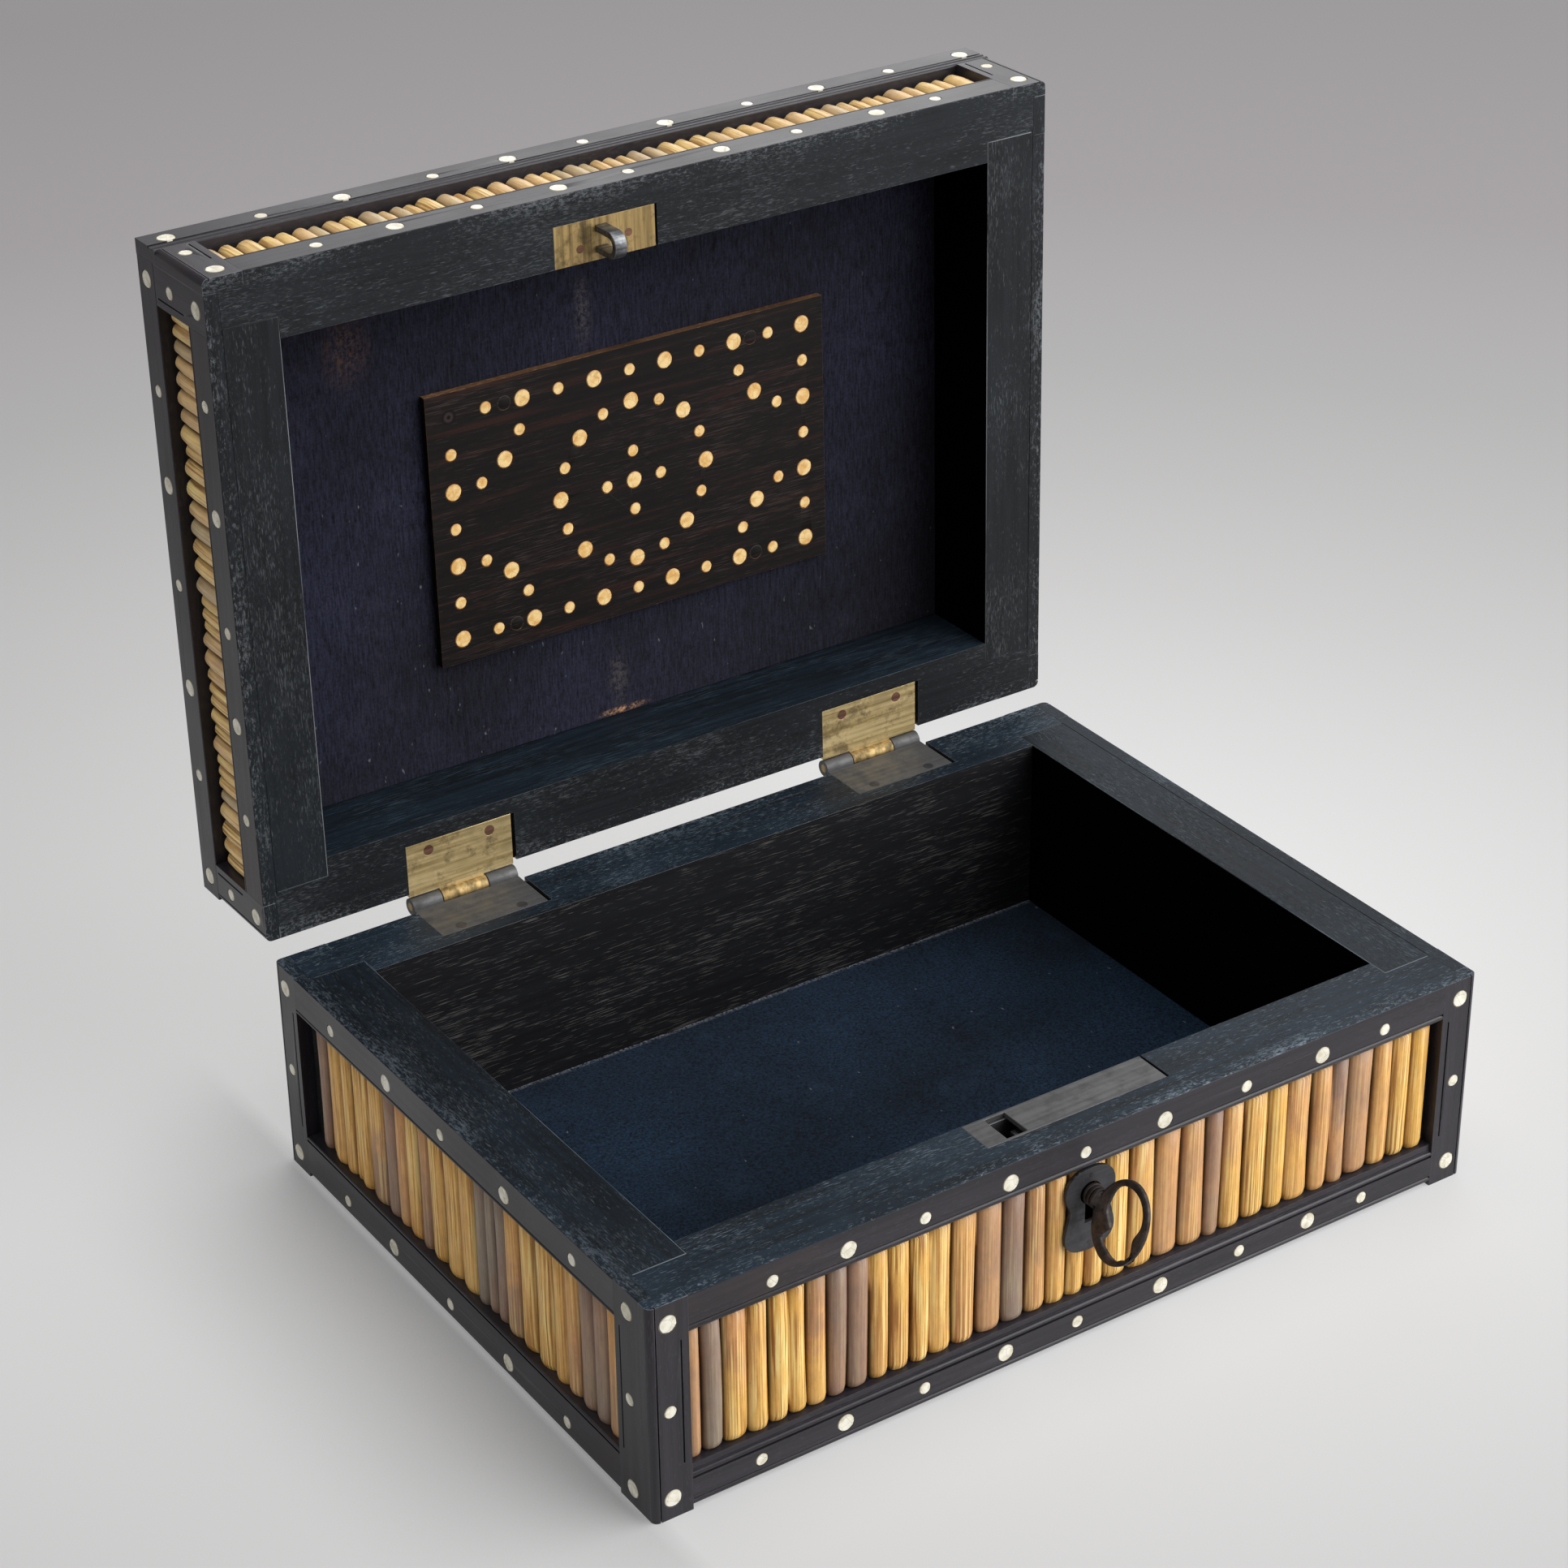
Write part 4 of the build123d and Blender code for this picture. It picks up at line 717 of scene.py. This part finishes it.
def addQuill(bm, low, high, foot, head, tones, rng, layers, bullet):
    shape = quillShape
    rows = shape["rows"]
    width, length = high - low, head - foot
    crown = min(shape["crown"], width * 0.5) * rng.uniform(shape["flattest"], 1.0)
    lean, bow, taper = (eitherWay(rng, shape[key]) for key in ("lean", "bow", "taper"))
    grid = bmesh.ops.create_grid(bm, x_segments=shape["acrossSteps"], y_segments=len(rows) - 1, size=0.5)
    verts = grid["verts"]
    seeds = [rng.uniform(0, shape["patternReach"]) for _ in range(2)]
    for vert in verts:
        row = round((vert.co.y + 0.5) * (len(rows) - 1))
        along = rows[row]
        angle = vert.co.x * math.pi
        foothold = min(along / bullet, (1 - along) / shape["blunt"], 1)
        ease = math.sqrt(max(0.0, 1 - (1 - foothold) ** 2))
        endShare = shape["endWidth"] + (1 - shape["endWidth"]) * ease
        across = math.sin(angle) * width / 2 * shape["fullness"] * endShare
        across *= 1 + taper * (2 * along - 1)
        shift = lean * (along - 0.5) + bow * (1 - (2 * along - 1) ** 2) * 0.5
        # this mark is 1 at a quill's edges and rounded ends, where painted shade goes
        vert[layers["side"]] = max(abs(math.sin(angle)), 1 - ease)
        vert[layers["along"]] = along
        rise = shape["seat"] - crown * math.cos(angle) * ease
        vert.co = ((low + high) / 2 + across + shift, rise, foot + along * length)
    faces = {face for vert in verts for face in vert.link_faces}
    rim = [edge for edge in {e for v in verts for e in v.link_edges} if edge.is_boundary]
    filled = bmesh.ops.contextual_create(bm, geom=rim)["faces"]
    for face in list(faces) + filled:
        for name, value in tones.items():
            face[layers[name]] = value
        for loop in face.loops:
            spot = loop.vert.co
            loop[layers["uv"]].uv = ((spot.x - low) / mm + seeds[0], (spot.z - foot) / mm + seeds[1])


toneNames = ("toneTop", "toneFoot", "stripe", "paintedSheen")


def quillLayers(bm):
    layers = {name: bm.faces.layers.float.new(name) for name in toneNames}
    layers["along"] = bm.verts.layers.float.new("along")
    layers["side"] = bm.verts.layers.float.new("side")
    layers["uv"] = bm.loops.layers.uv.new("quillMap")
    return layers


quillKinds = (  # up to this share of the quills, then spans of the top tone, foot tone and stripe
    (0.5, (0, 0.2), (0, 0.15), (0.35, 0.8)),  # golden
    (0.78, (0.25, 0.5), (0.2, 0.55), (0.15, 0.4)),  # tan
    (1.0, (0.6, 0.9), (0.6, 1.0), (0.05, 0.2)),  # mauve
)
quillRoom = {"narrowest": 0.68, "widest": 1.3, "lowest": -0.2 * mm, "highest": 0.45 * mm, "headGap": 0.1 * mm}


def randomTones(rng):
    share = rng.random()
    spans = next(kind[1:] for kind in quillKinds if share < kind[0])
    return [rng.uniform(*span) for span in spans]


def quillRow(bm, panel, rng, widths):
    layers = quillLayers(bm)
    (edge, high), (foot, head) = panel["span"], panel["ends"]
    scale = (high - edge) / sum(widths)
    tones, paintedSheen = panel.get("tones"), panel.get("paintedSheen", 0.0)
    bullet = panel.get("bullet", quillShape["bullet"])
    for index, width in enumerate(widths):
        looks = dict(zip(toneNames, (*(tones[index] if tones else randomTones(rng)), paintedSheen)))
        start = foot + rng.uniform(quillRoom["lowest"], quillRoom["highest"])
        stop = head - quillRoom["headGap"]
        addQuill(bm, edge, edge + width * scale, start, stop, looks, rng, layers, bullet)
        edge += width * scale


def quillPanel(name, face, panel, body, nodes, seed, place=unmoved):
    rng = random.Random(seed)
    widths = panel.get("widths")
    if not widths:
        low, high = panel["span"]
        count = round((high - low) / panel["mean"])
        widths = [rng.uniform(quillRoom["narrowest"], quillRoom["widest"]) for _ in range(count)]
    bm = bmesh.new()
    quillRow(bm, panel, rng, widths)
    bm.transform(place @ faceMatrix[face])
    bmesh.ops.recalc_face_normals(bm, faces=bm.faces)
    finishPiece(name, bm, [finish["quill"]], body, "quill", nodes, smoothing["quillAngle"])


print("quills")
baseEnds = (12.4 * mm, 53 * mm)
frontPanel = {
    "span": (11.3 * mm, 247.4 * mm),
    "ends": baseEnds,
    "widths": (
        (4.7, 6, 7.3, 6.1, 5.7, 5.4, 6, 5.9, 6.5, 5.9, 6.4, 5.9, 7, 7.5, 8, 7.3, 6.4, 6.5)
        + (5.9, 6.4, 7.7, 8.5, 8.3, 8.2, 5.5, 7.2, 8, 6.6, 8.4, 6.6, 5.9, 8.6, 6.6, 6.6, 6.4)
    ),
    "tones": (  # top tone, foot tone, stripe
        (0.55, 0.6, 0.1), (0.9, 1.0, 0.1), (0.4, 0.05, 0.6), (0.15, 0.05, 0.6), (0.0, 0.0, 0.9),
        (0.1, 0.0, 0.7), (0.55, 0.12, 0.3), (0.85, 0.75, 0.1), (0.75, 0.8, 0.1), (0.1, 0.2, 0.6),
        (0.0, 0.15, 0.8), (0.05, 0.1, 0.9), (0.15, 0.1, 0.6), (0.3, 0.35, 0.6), (0.6, 0.55, 0.15),
        (0.8, 0.95, 0.15), (0.5, 0.4, 0.5), (0.3, 0.1, 0.5), (0.15, 0.05, 0.6), (0.1, 0.1, 0.7),
        (0.05, 0.0, 0.8), (0.3, 0.1, 0.6), (0.45, 0.5, 0.2), (0.5, 0.45, 0.3), (0.75, 0.7, 0.1),
        (0.4, 0.1, 0.4), (0.1, 0.05, 0.7), (0.0, 0.0, 0.5), (0.4, 0.15, 0.4), (0.4, 0.35, 0.3),
        (0.8, 0.5, 0.15), (0.6, 0.55, 0.15), (0.3, 0.25, 0.4), (0.1, 0.0, 0.7), (0.0, 0.0, 0.4),
    ),
}
quillPanel("frontQuills", "front", frontPanel, "base", ("base_front_quills",), 3)
keyhole = {
    "x": 1.2 * mm,
    "height": 45 * mm,
    "radius": 4.3 * mm,
    "slotWidth": 8.6 * mm,
    "slotDrop": 11.5 * mm,
    "depth": 16 * mm,
    "segments": 32,
}


def addRod(bm, radius, depth, segments, place=unmoved):
    sizes = {"radius1": radius, "radius2": radius, "depth": depth}
    return bmesh.ops.create_cone(bm, cap_ends=True, segments=segments, matrix=place, **sizes)["verts"]


def cutKeyhole(piece):  # a round hole with a slot below it, through the quills behind the escutcheon
    bm = bmesh.new()
    onFace = Matrix.Translation((keyhole["x"], -halfDepth, keyhole["height"]))
    turned = onFace @ Matrix.Rotation(math.pi / 2, 4, "X")
    addRod(bm, keyhole["radius"], keyhole["depth"], keyhole["segments"], turned)
    slot = Matrix.Diagonal((keyhole["slotWidth"], keyhole["depth"], keyhole["slotDrop"], 1))
    middle = onFace @ Matrix.Translation((0, 0, -keyhole["slotDrop"] / 2))
    bmesh.ops.create_cube(bm, size=1, matrix=middle @ slot)
    cutter = madeObject("keyholeCutter", meshFrom("keyholeCutter", bm))
    cut = piece.modifiers.new("keyhole", "BOOLEAN")
    cut.operation = "DIFFERENCE"
    cut.solver = "EXACT"
    cut.use_self = True
    cut.object = cutter
    evaluated = piece.evaluated_get(bpy.context.evaluated_depsgraph_get())
    result = bpy.data.meshes.new_from_object(evaluated)
    piece.modifiers.clear()
    piece.data = result
    bpy.data.objects.remove(cutter)


cutKeyhole(bpy.data.objects["frontQuills"])
leftPanel = {  # both rows run from the back, as the face is seen from outside
    "span": (box["depth"] - 172.5 * mm, box["depth"] - 15.2 * mm),
    "ends": (baseEnds[0] - 0.6 * mm, baseEnds[1]),
    "widths": (
        (4.6, 2.4, 6.6, 5.2, 3.7, 5.7, 8.8, 6.4, 5.5, 6.6, 5, 7.7, 8.2)
        + (7.9, 5.3, 4.6, 4.9, 7.5, 7.4, 8.7, 6.1, 6.5, 6.5, 6.5, 6.3, 2.1)
    ),
    "tones": (
        (0.8, 0.8, 0.1), (0.7, 0.2, 0.2), (0.15, 0.2, 0.4), (0.1, 0.15, 0.5), (0.05, 0.1, 0.6),
        (0.1, 0.1, 0.6), (0.1, 0.7, 0.4), (0.75, 0.85, 0.1), (0.4, 0.45, 0.3), (0.1, 0.1, 0.6),
        (0.5, 0.75, 0.2), (0.05, 0.1, 0.7), (0.1, 0.1, 0.6), (0.1, 0.15, 0.5), (0.95, 1.0, 0.1),
        (1.0, 0.9, 0.1), (0.95, 0.85, 0.1), (0.2, 0.65, 0.4), (0.1, 0.1, 0.6), (0.1, 0.05, 0.8),
        (0.1, 0.15, 0.5), (0.25, 0.5, 0.4), (0.8, 0.85, 0.1), (0.75, 0.9, 0.1), (0.3, 0.6, 0.3),
        (0.1, 0.1, 0.2),
    ),
}
quillPanel("leftQuills", "left", leftPanel, "base", ("base_side_quills",), 5)
panelGap = {"start": 0.1 * mm, "stop": 0.6 * mm}  # between the row of quills and the stiles


def clearSpan(face):
    low, high = faceSpan[face]
    return (low + box["stile"] + panelGap["start"], high - box["stile"] - panelGap["stop"])


for name, face, mean, nodes, seed in (
    ("rightQuills", "right", 6.3 * mm, (), 7),
    ("backQuills", "back", 6.7 * mm, ("base_back_quills",), 9),
):
    quillPanel(name, face, {"span": clearSpan(face), "ends": baseEnds, "mean": mean}, "base", nodes, seed)

# the lid's quills get a painted sheen, lighter and creamier
lidPanel = {"foot": lidRim + 10.9 * mm, "bullet": 0.16, "paintedSheen": 0.45}
lidHeads = {"long": lidRim + 25.6 * mm, "short": lidRim + 27.4 * mm}
for name, face, head, mean, nodes, seed in (
    ("lidFrontQuills", "front", lidHeads["long"], 4.8 * mm, ("lid_front_quills",), 11),
    ("lidLeftQuills", "left", lidHeads["short"], 4.6 * mm, ("lid_side_quills",), 13),
    ("lidRightQuills", "right", lidHeads["short"], 4.6 * mm, (), 15),
    ("lidBackQuills", "back", lidHeads["long"], 4.8 * mm, ("lid_back_quills",), 17),
):
    flip = Matrix.Translation((0, 0, lidPanel["foot"] + head)) @ Matrix.Diagonal((1, 1, -1, 1))
    upended = openLid @ faceMatrix[face] @ flip @ faceMatrix[face].inverted()  # bullet ends to the lid's top
    panel = {**lidPanel, "span": clearSpan(face), "ends": (lidPanel["foot"], head), "mean": mean}
    quillPanel(name, face, panel, "lid", nodes, seed, upended)
border = box["facing"] + box["stile"]
topPanel = {
    "span": (border + 0.1 * mm, box["length"] - border - 0.5 * mm),
    "ends": (border + 0.4 * mm, box["depth"] - border - 0.4 * mm),
    "mean": 6.4 * mm,
    "bullet": 0.02,
}
quillPanel("lidTopQuills", "top", topPanel, "lid", ("lid_top_quills",), 19, openLid)


# bone pegs
def boundsOf(points):  # middle and size
    low, high = (Vector([pick(co[i] for co in points) for i in range(3)]) for pick in (min, max))
    return (low + high) / 2, high - low


def solidsOf(node, undo):  # (middle, size) of each separate solid in a node
    bm = mergedMesh(node)
    bm.transform(undo)
    found, seen = [], set()
    for start in bm.verts:
        if start in seen:
            continue
        queue, group = [start], []
        seen.add(start)
        while queue:
            vert = queue.pop()
            group.append(vert.co.copy())
            for edge in vert.link_edges:
                other = edge.other_vert(vert)
                if other not in seen:
                    seen.add(other)
                    queue.append(other)
        found.append(boundsOf(group))
    bm.free()
    return found


pegShape = {"segments": 16, "rub": 0.22 * mm, "ragged": 0.03, "sameHeight": 1e-7}
# each turns a rod's length onto x, y or z
alongAxis = (Matrix.Rotation(math.pi / 2, 4, "Y"), Matrix.Rotation(math.pi / 2, 4, "X"), unmoved)


def isLevel(edge):
    return abs(edge.verts[0].co.z - edge.verts[1].co.z) < pegShape["sameHeight"]


def addPeg(bm, middle, size, rng, mark):
    thin = min(range(3), key=lambda i: abs(size[i - 1] - size[i - 2]))  # the other two are its diameter
    radius = sum(size[i] for i in range(3) if i != thin) / 4
    made = addRod(bm, radius, size[thin], pegShape["segments"])
    for vert in made:
        vert.co.xy *= 1 + eitherWay(rng, pegShape["ragged"])
    rims = {edge for vert in made for edge in vert.link_edges if isLevel(edge)}
    bevelled = bmesh.ops.bevel(
        bm, geom=list(rims), offset=pegShape["rub"], affect="EDGES", segments=1, profile=0.5, material=-1
    )
    for face in bevelled["faces"]:
        face[mark] = 1.0
    verts = {vert for face in bevelled["faces"] for vert in face.verts}
    spin = Matrix.Rotation(rng.uniform(0, math.pi), 4, "Z")
    placed = Matrix.Translation(middle) @ alongAxis[thin] @ spin
    bmesh.ops.transform(bm, matrix=placed, verts=list(verts))


def pegGroup(name, node, material, slotName, seed, place=unmoved):
    rng = random.Random(seed)
    bm = bmesh.new()
    mark = bm.faces.layers.float.new("edge")
    for middle, size in solidsOf(node, place.inverted()):
        addPeg(bm, middle, size, rng, mark)
    bm.transform(place)
    finishPiece(name, bm, [material], bodyOf(node), slotName, (node,))


print("pegs")
pegGroup("basePegs", "base_bone_pegs", finish["bone"], "bone", 21)
pegGroup("lidPegs", "lid_bone_pegs", finish["bone"], "bone", 22, openLid)

# linings
print("linings")
laid = {"wave": 0.12 * mm, "steps": (40, 28), "thickness": 0.8, "waves": ((17, 5), (-3, 11))}


def laidCloth(name, node, material, place=unmoved):
    bm = mergedMesh(node)
    bm.transform(place.inverted())
    middle, size = boundsOf([vert.co for vert in bm.verts])
    bm.free()
    bm = bmesh.new()
    bmesh.ops.create_grid(bm, x_segments=laid["steps"][0], y_segments=laid["steps"][1], size=0.5)
    for vert in bm.verts:
        x, y = vert.co.x, vert.co.y
        lift = laid["wave"] * math.prod(math.sin(a * x + b * y) for a, b in laid["waves"])
        vert.co = middle + Vector((x * size.x, y * size.y, lift))
    bmesh.ops.recalc_face_normals(bm, faces=bm.faces)
    bmesh.ops.solidify(bm, geom=bm.faces[:], thickness=size.z * laid["thickness"])
    bm.transform(place)
    return finishPiece(name, bm, [material], bodyOf(node), "lining", (node,)), size


floorCloth, floorSize = laidCloth("floorCloth", "base_floor_lining", finish["floorCloth"])
lidCloth, lidSize = laidCloth("lidCloth", "lid_lining", finish["lidCloth"], openLid)

# hardware and plaque
print("hardware")
plaqueBoard = wornCopy("plaque_board", [finish["plaque"]], rub["metal"])
torn = plaqueBoard.data.attributes["edge"].data
for polygon in plaqueBoard.data.polygons:  # the long edges are split and pale
    if abs(polygon.normal.z) > rimFaces["flatOver"]:
        torn[polygon.index].value = 1.0
wornCopy("plaque_fixing_pins", [finish["plug"]])
pegGroup("plaquePegs", "plaque_bone_pegs", finish["amber"], "amber_bone", 23, openLid)
knuckle = {"y": halfDepth + box["pinBack"], "z": lidRim - box["rimGap"] / 2, "radius": 2.9 * mm}


def barrelFace(face):  # the knuckles are duller than the leaf
    middle = face.calc_center_median()
    return int(math.hypot(middle.y - knuckle["y"], middle.z - knuckle["z"]) < knuckle["radius"])


for node in ("left_hinge_lid_leaf", "right_hinge_lid_leaf"):
    wornCopy(node, [finish["brass"], finish["hookBrass"]], rub["metal"], barrelFace)
metalPieces = {
    "hookBrass": ("hook_plate",),
    "greyBrass": ("left_hinge_base_leaf", "right_hinge_base_leaf", "lock_top_plate"),
    "steel": ("hook_staple", "lock_case", "lock_back_plate", "lock_bolt"),
}
for look, nodes in metalPieces.items():
    for node in nodes:
        wornCopy(node, [finish[look]], rub["metal"])
wornCopy("escutcheon", [finish["plate"]])
keyBow = {
    "near": 3.7 * mm,  # from the front face out to the bow
    "reach": 9.3 * mm,
    "rise": 11.3 * mm,
    "drop": 1.6 * mm,
    "turn": 24,
    "flat": 0.5,  # share of its thickness that is left
    "easedOver": 4 * mm,
    "opening": 0.87,  # share of the bow that its opening takes
    "wider": 1.26,  # how far the opening is filed out: outwards, towards the shank and upwards
    "nearer": 1.35,
    "taller": 1.09,
}


def flattenBow(bm):  # hammers the bow thinner and files its opening out
    out = halfDepth + keyBow["near"] + keyBow["reach"]
    turned = Matrix.Rotation(math.radians(keyBow["turn"]), 4, "Y")
    placed = Matrix.Translation((keyhole["x"], -out, keyhole["height"])) @ turned
    placed = placed @ Matrix.Translation((0, 0, -keyBow["drop"]))
    undo = placed.inverted()
    bmesh.ops.triangulate(bm, faces=bm.faces)  # so that no face spans the opening once it moves
    for vert in bm.verts:
        spot = undo @ vert.co
        outwards, up = -spot.y, spot.z
        if outwards < -keyBow["reach"]:
            continue
        if math.hypot(outwards / keyBow["reach"], up / keyBow["rise"]) < keyBow["opening"]:
            outwards *= keyBow["wider"] if outwards > 0 else keyBow["nearer"]
            up *= keyBow["taller"]
        ease = min(1, (keyBow["reach"] - spot.y) / keyBow["easedOver"])
        spot.x *= 1 - (1 - keyBow["flat"]) * ease
        vert.co = placed @ Vector((spot.x, -outwards, up))


wornCopy("key", [finish["iron"]], rub["key"], reshape=flattenBow)
plainFinish = {
    "hinge_pins": "hookBrass",
    "base_hardware_nails": "plate",
    "lid_hardware_nails": "nail",
    "escutcheon_pins": "iron",
    "lock_spring": "steel",
    "lock_drill_pin": "steel",
}
for node, look in plainFinish.items():
    slots = frame["nodes"][node].data.materials
    slots.clear()
    slots.append(finish[look])

# floor, light and camera
print("stage")
stage = {
    "size": 8.0,
    "middle": (0.026, 0.069, 0),  # brightest spot of the painted pool of light on the paper
    "stretch": (1.175, 1, 1),
    "tints": [  # painted light, falling off by distance from the middle
        (0.0, "ffffff"), (0.1, "f7f7f7"), (0.2, "e5e5e5"), (0.3, "d5d4d4"),
        (0.4, "c7c6c6"), (0.5, "bbbaba"), (0.7, "ada9ab"), (1.0, "a3a0a1"),
    ],
    "paper": 0.69,
    "unshaded": 0.5,  # share of the paper seen without its shading
    "shadowReach": 0.07,
    "contactShade": [(0.5, grey(0.33)), (1.0, grey(1))],  # by how open a spot is
    "shadeStart": 4 * mm - halfLength,  # the painted contact shadow lies left of the box
    "shadeFull": -2 * mm - halfLength,
}
view = {  # degrees, metres, and millimetres for the lens; right and up shift the camera across its view
    "azimuth": -33.490,
    "elevation": 29.078,
    "roll": -0.723,
    "distance": 1.01681,
    "right": -0.0229,
    "up": 0.05268,
    "target": (0, 0, 0.06),
    "lens": 87.214,
    "sensor": 36,
}


def makeFloor():
    bm = bmesh.new()
    bmesh.ops.create_grid(bm, x_segments=1, y_segments=1, size=stage["size"] / 2)
    floor = madeObject("floor", meshFrom("floor", bm))
    material, tree, shader = newMaterial("paperFloor")
    coords = addNode(tree, "ShaderNodeTexCoord")
    turn = (0, 0, math.radians(view["azimuth"]))
    # painted pool of light: the paper's tint falls off from its brightest spot
    tint = ramp(tree, awayFrom(tree, coords, stage["middle"], stage["stretch"], turn), stage["tints"])
    paper = mixColour(tree, 1.0, tint, grey(stage["paper"]), "MULTIPLY")
    setInputs(tree, shader, {"Base Color": paper, "Roughness": 0.9, "Specular IOR Level": 0.0})
    rays = addNode(tree, "ShaderNodeLightPath")
    seen = maths(tree, "ADD", rays.outputs["Is Camera Ray"], rays.outputs["Is Glossy Ray"], True)
    # painted contact shadow: ambient occlusion darkens the paper's glow left of the box
    nearby = addNode(tree, "ShaderNodeAmbientOcclusion", {"Distance": stage["shadowReach"]}, samples=8)
    place = addNode(tree, "ShaderNodeSeparateXYZ", {"Vector": coords.outputs["Object"]})
    leftOf = softened(tree, place.outputs["X"], stage["shadeStart"], stage["shadeFull"])
    dark = mixColour(tree, leftOf, grey(1), ramp(tree, nearby.outputs["AO"], stage["contactShade"]))
    glow = addNode(tree, "ShaderNodeEmission", {"Color": mixColour(tree, 1.0, tint, dark, "MULTIPLY")})
    share = product(tree, seen, stage["unshaded"])
    blend = addNode(tree, "ShaderNodeMixShader", {0: share, 1: shader.outputs[0], 2: glow.outputs[0]})
    tree.links.new(blend.outputs[0], tree.nodes["Material Output"].inputs["Surface"])
    floor.data.materials.append(material)


def areaLight(name, place, target, size, power):
    lamp = bpy.data.lights.new(name, "AREA")
    lamp.shape = "RECTANGLE"
    lamp.size, lamp.size_y = size
    lamp.energy = power
    holder = madeObject(name, lamp)
    holder.location = place
    holder.rotation_euler = (Vector(target) - Vector(place)).to_track_quat("-Z", "Y").to_euler()


def makeCamera():
    turn, rise, roll = (math.radians(view[key]) for key in ("azimuth", "elevation", "roll"))
    level = math.cos(rise)
    backward = Vector((math.sin(turn) * level, -math.cos(turn) * level, math.sin(rise)))
    across = Vector((0, 0, 1)).cross(backward).normalized()
    upright = backward.cross(across)
    side = across * math.cos(roll) + upright * math.sin(roll)
    up = upright * math.cos(roll) - across * math.sin(roll)
    camera = bpy.data.cameras.new("camera")
    camera.lens = view["lens"]
    camera.sensor_width = view["sensor"]
    holder = madeObject("camera", camera)
    place = Vector(view["target"]) + backward * view["distance"]
    holder.matrix_world = Matrix((side, up, backward)).transposed().to_4x4()
    holder.location = place + across * view["right"] + upright * view["up"]
    bpy.context.scene.camera = holder


lamps = {  # place, what it points at, size, watts
    "keyLight": ((1.28, -1.28, 1.05), (0, 0, 0.08), (2.4, 2.4), 72),
    "topLight": ((0, 0, 2.0), (0, 0, 0.05), (1.5, 1.5), 17),
    "sheenLight": ((1.2, 1.4, 1.05), (0, 0, 0.1), (1.4, 1.4), 11),
    "leftLight": ((-1.8, 0, 0.9), (0, 0, 0.08), (0.8, 0.8), 4.8),
}
roomStrength = 0.2
makeFloor()
makeCamera()
for name, (place, target, size, power) in lamps.items():
    areaLight(name, place, target, size, power)
world = bpy.data.worlds.new("room")
world.use_nodes = True
room = world.node_tree
setInputs(room, room.nodes["Background"], {"Color": grey(1), "Strength": roomStrength})
bpy.context.scene.world = world
bpy.context.scene.view_settings.view_transform = "Standard"
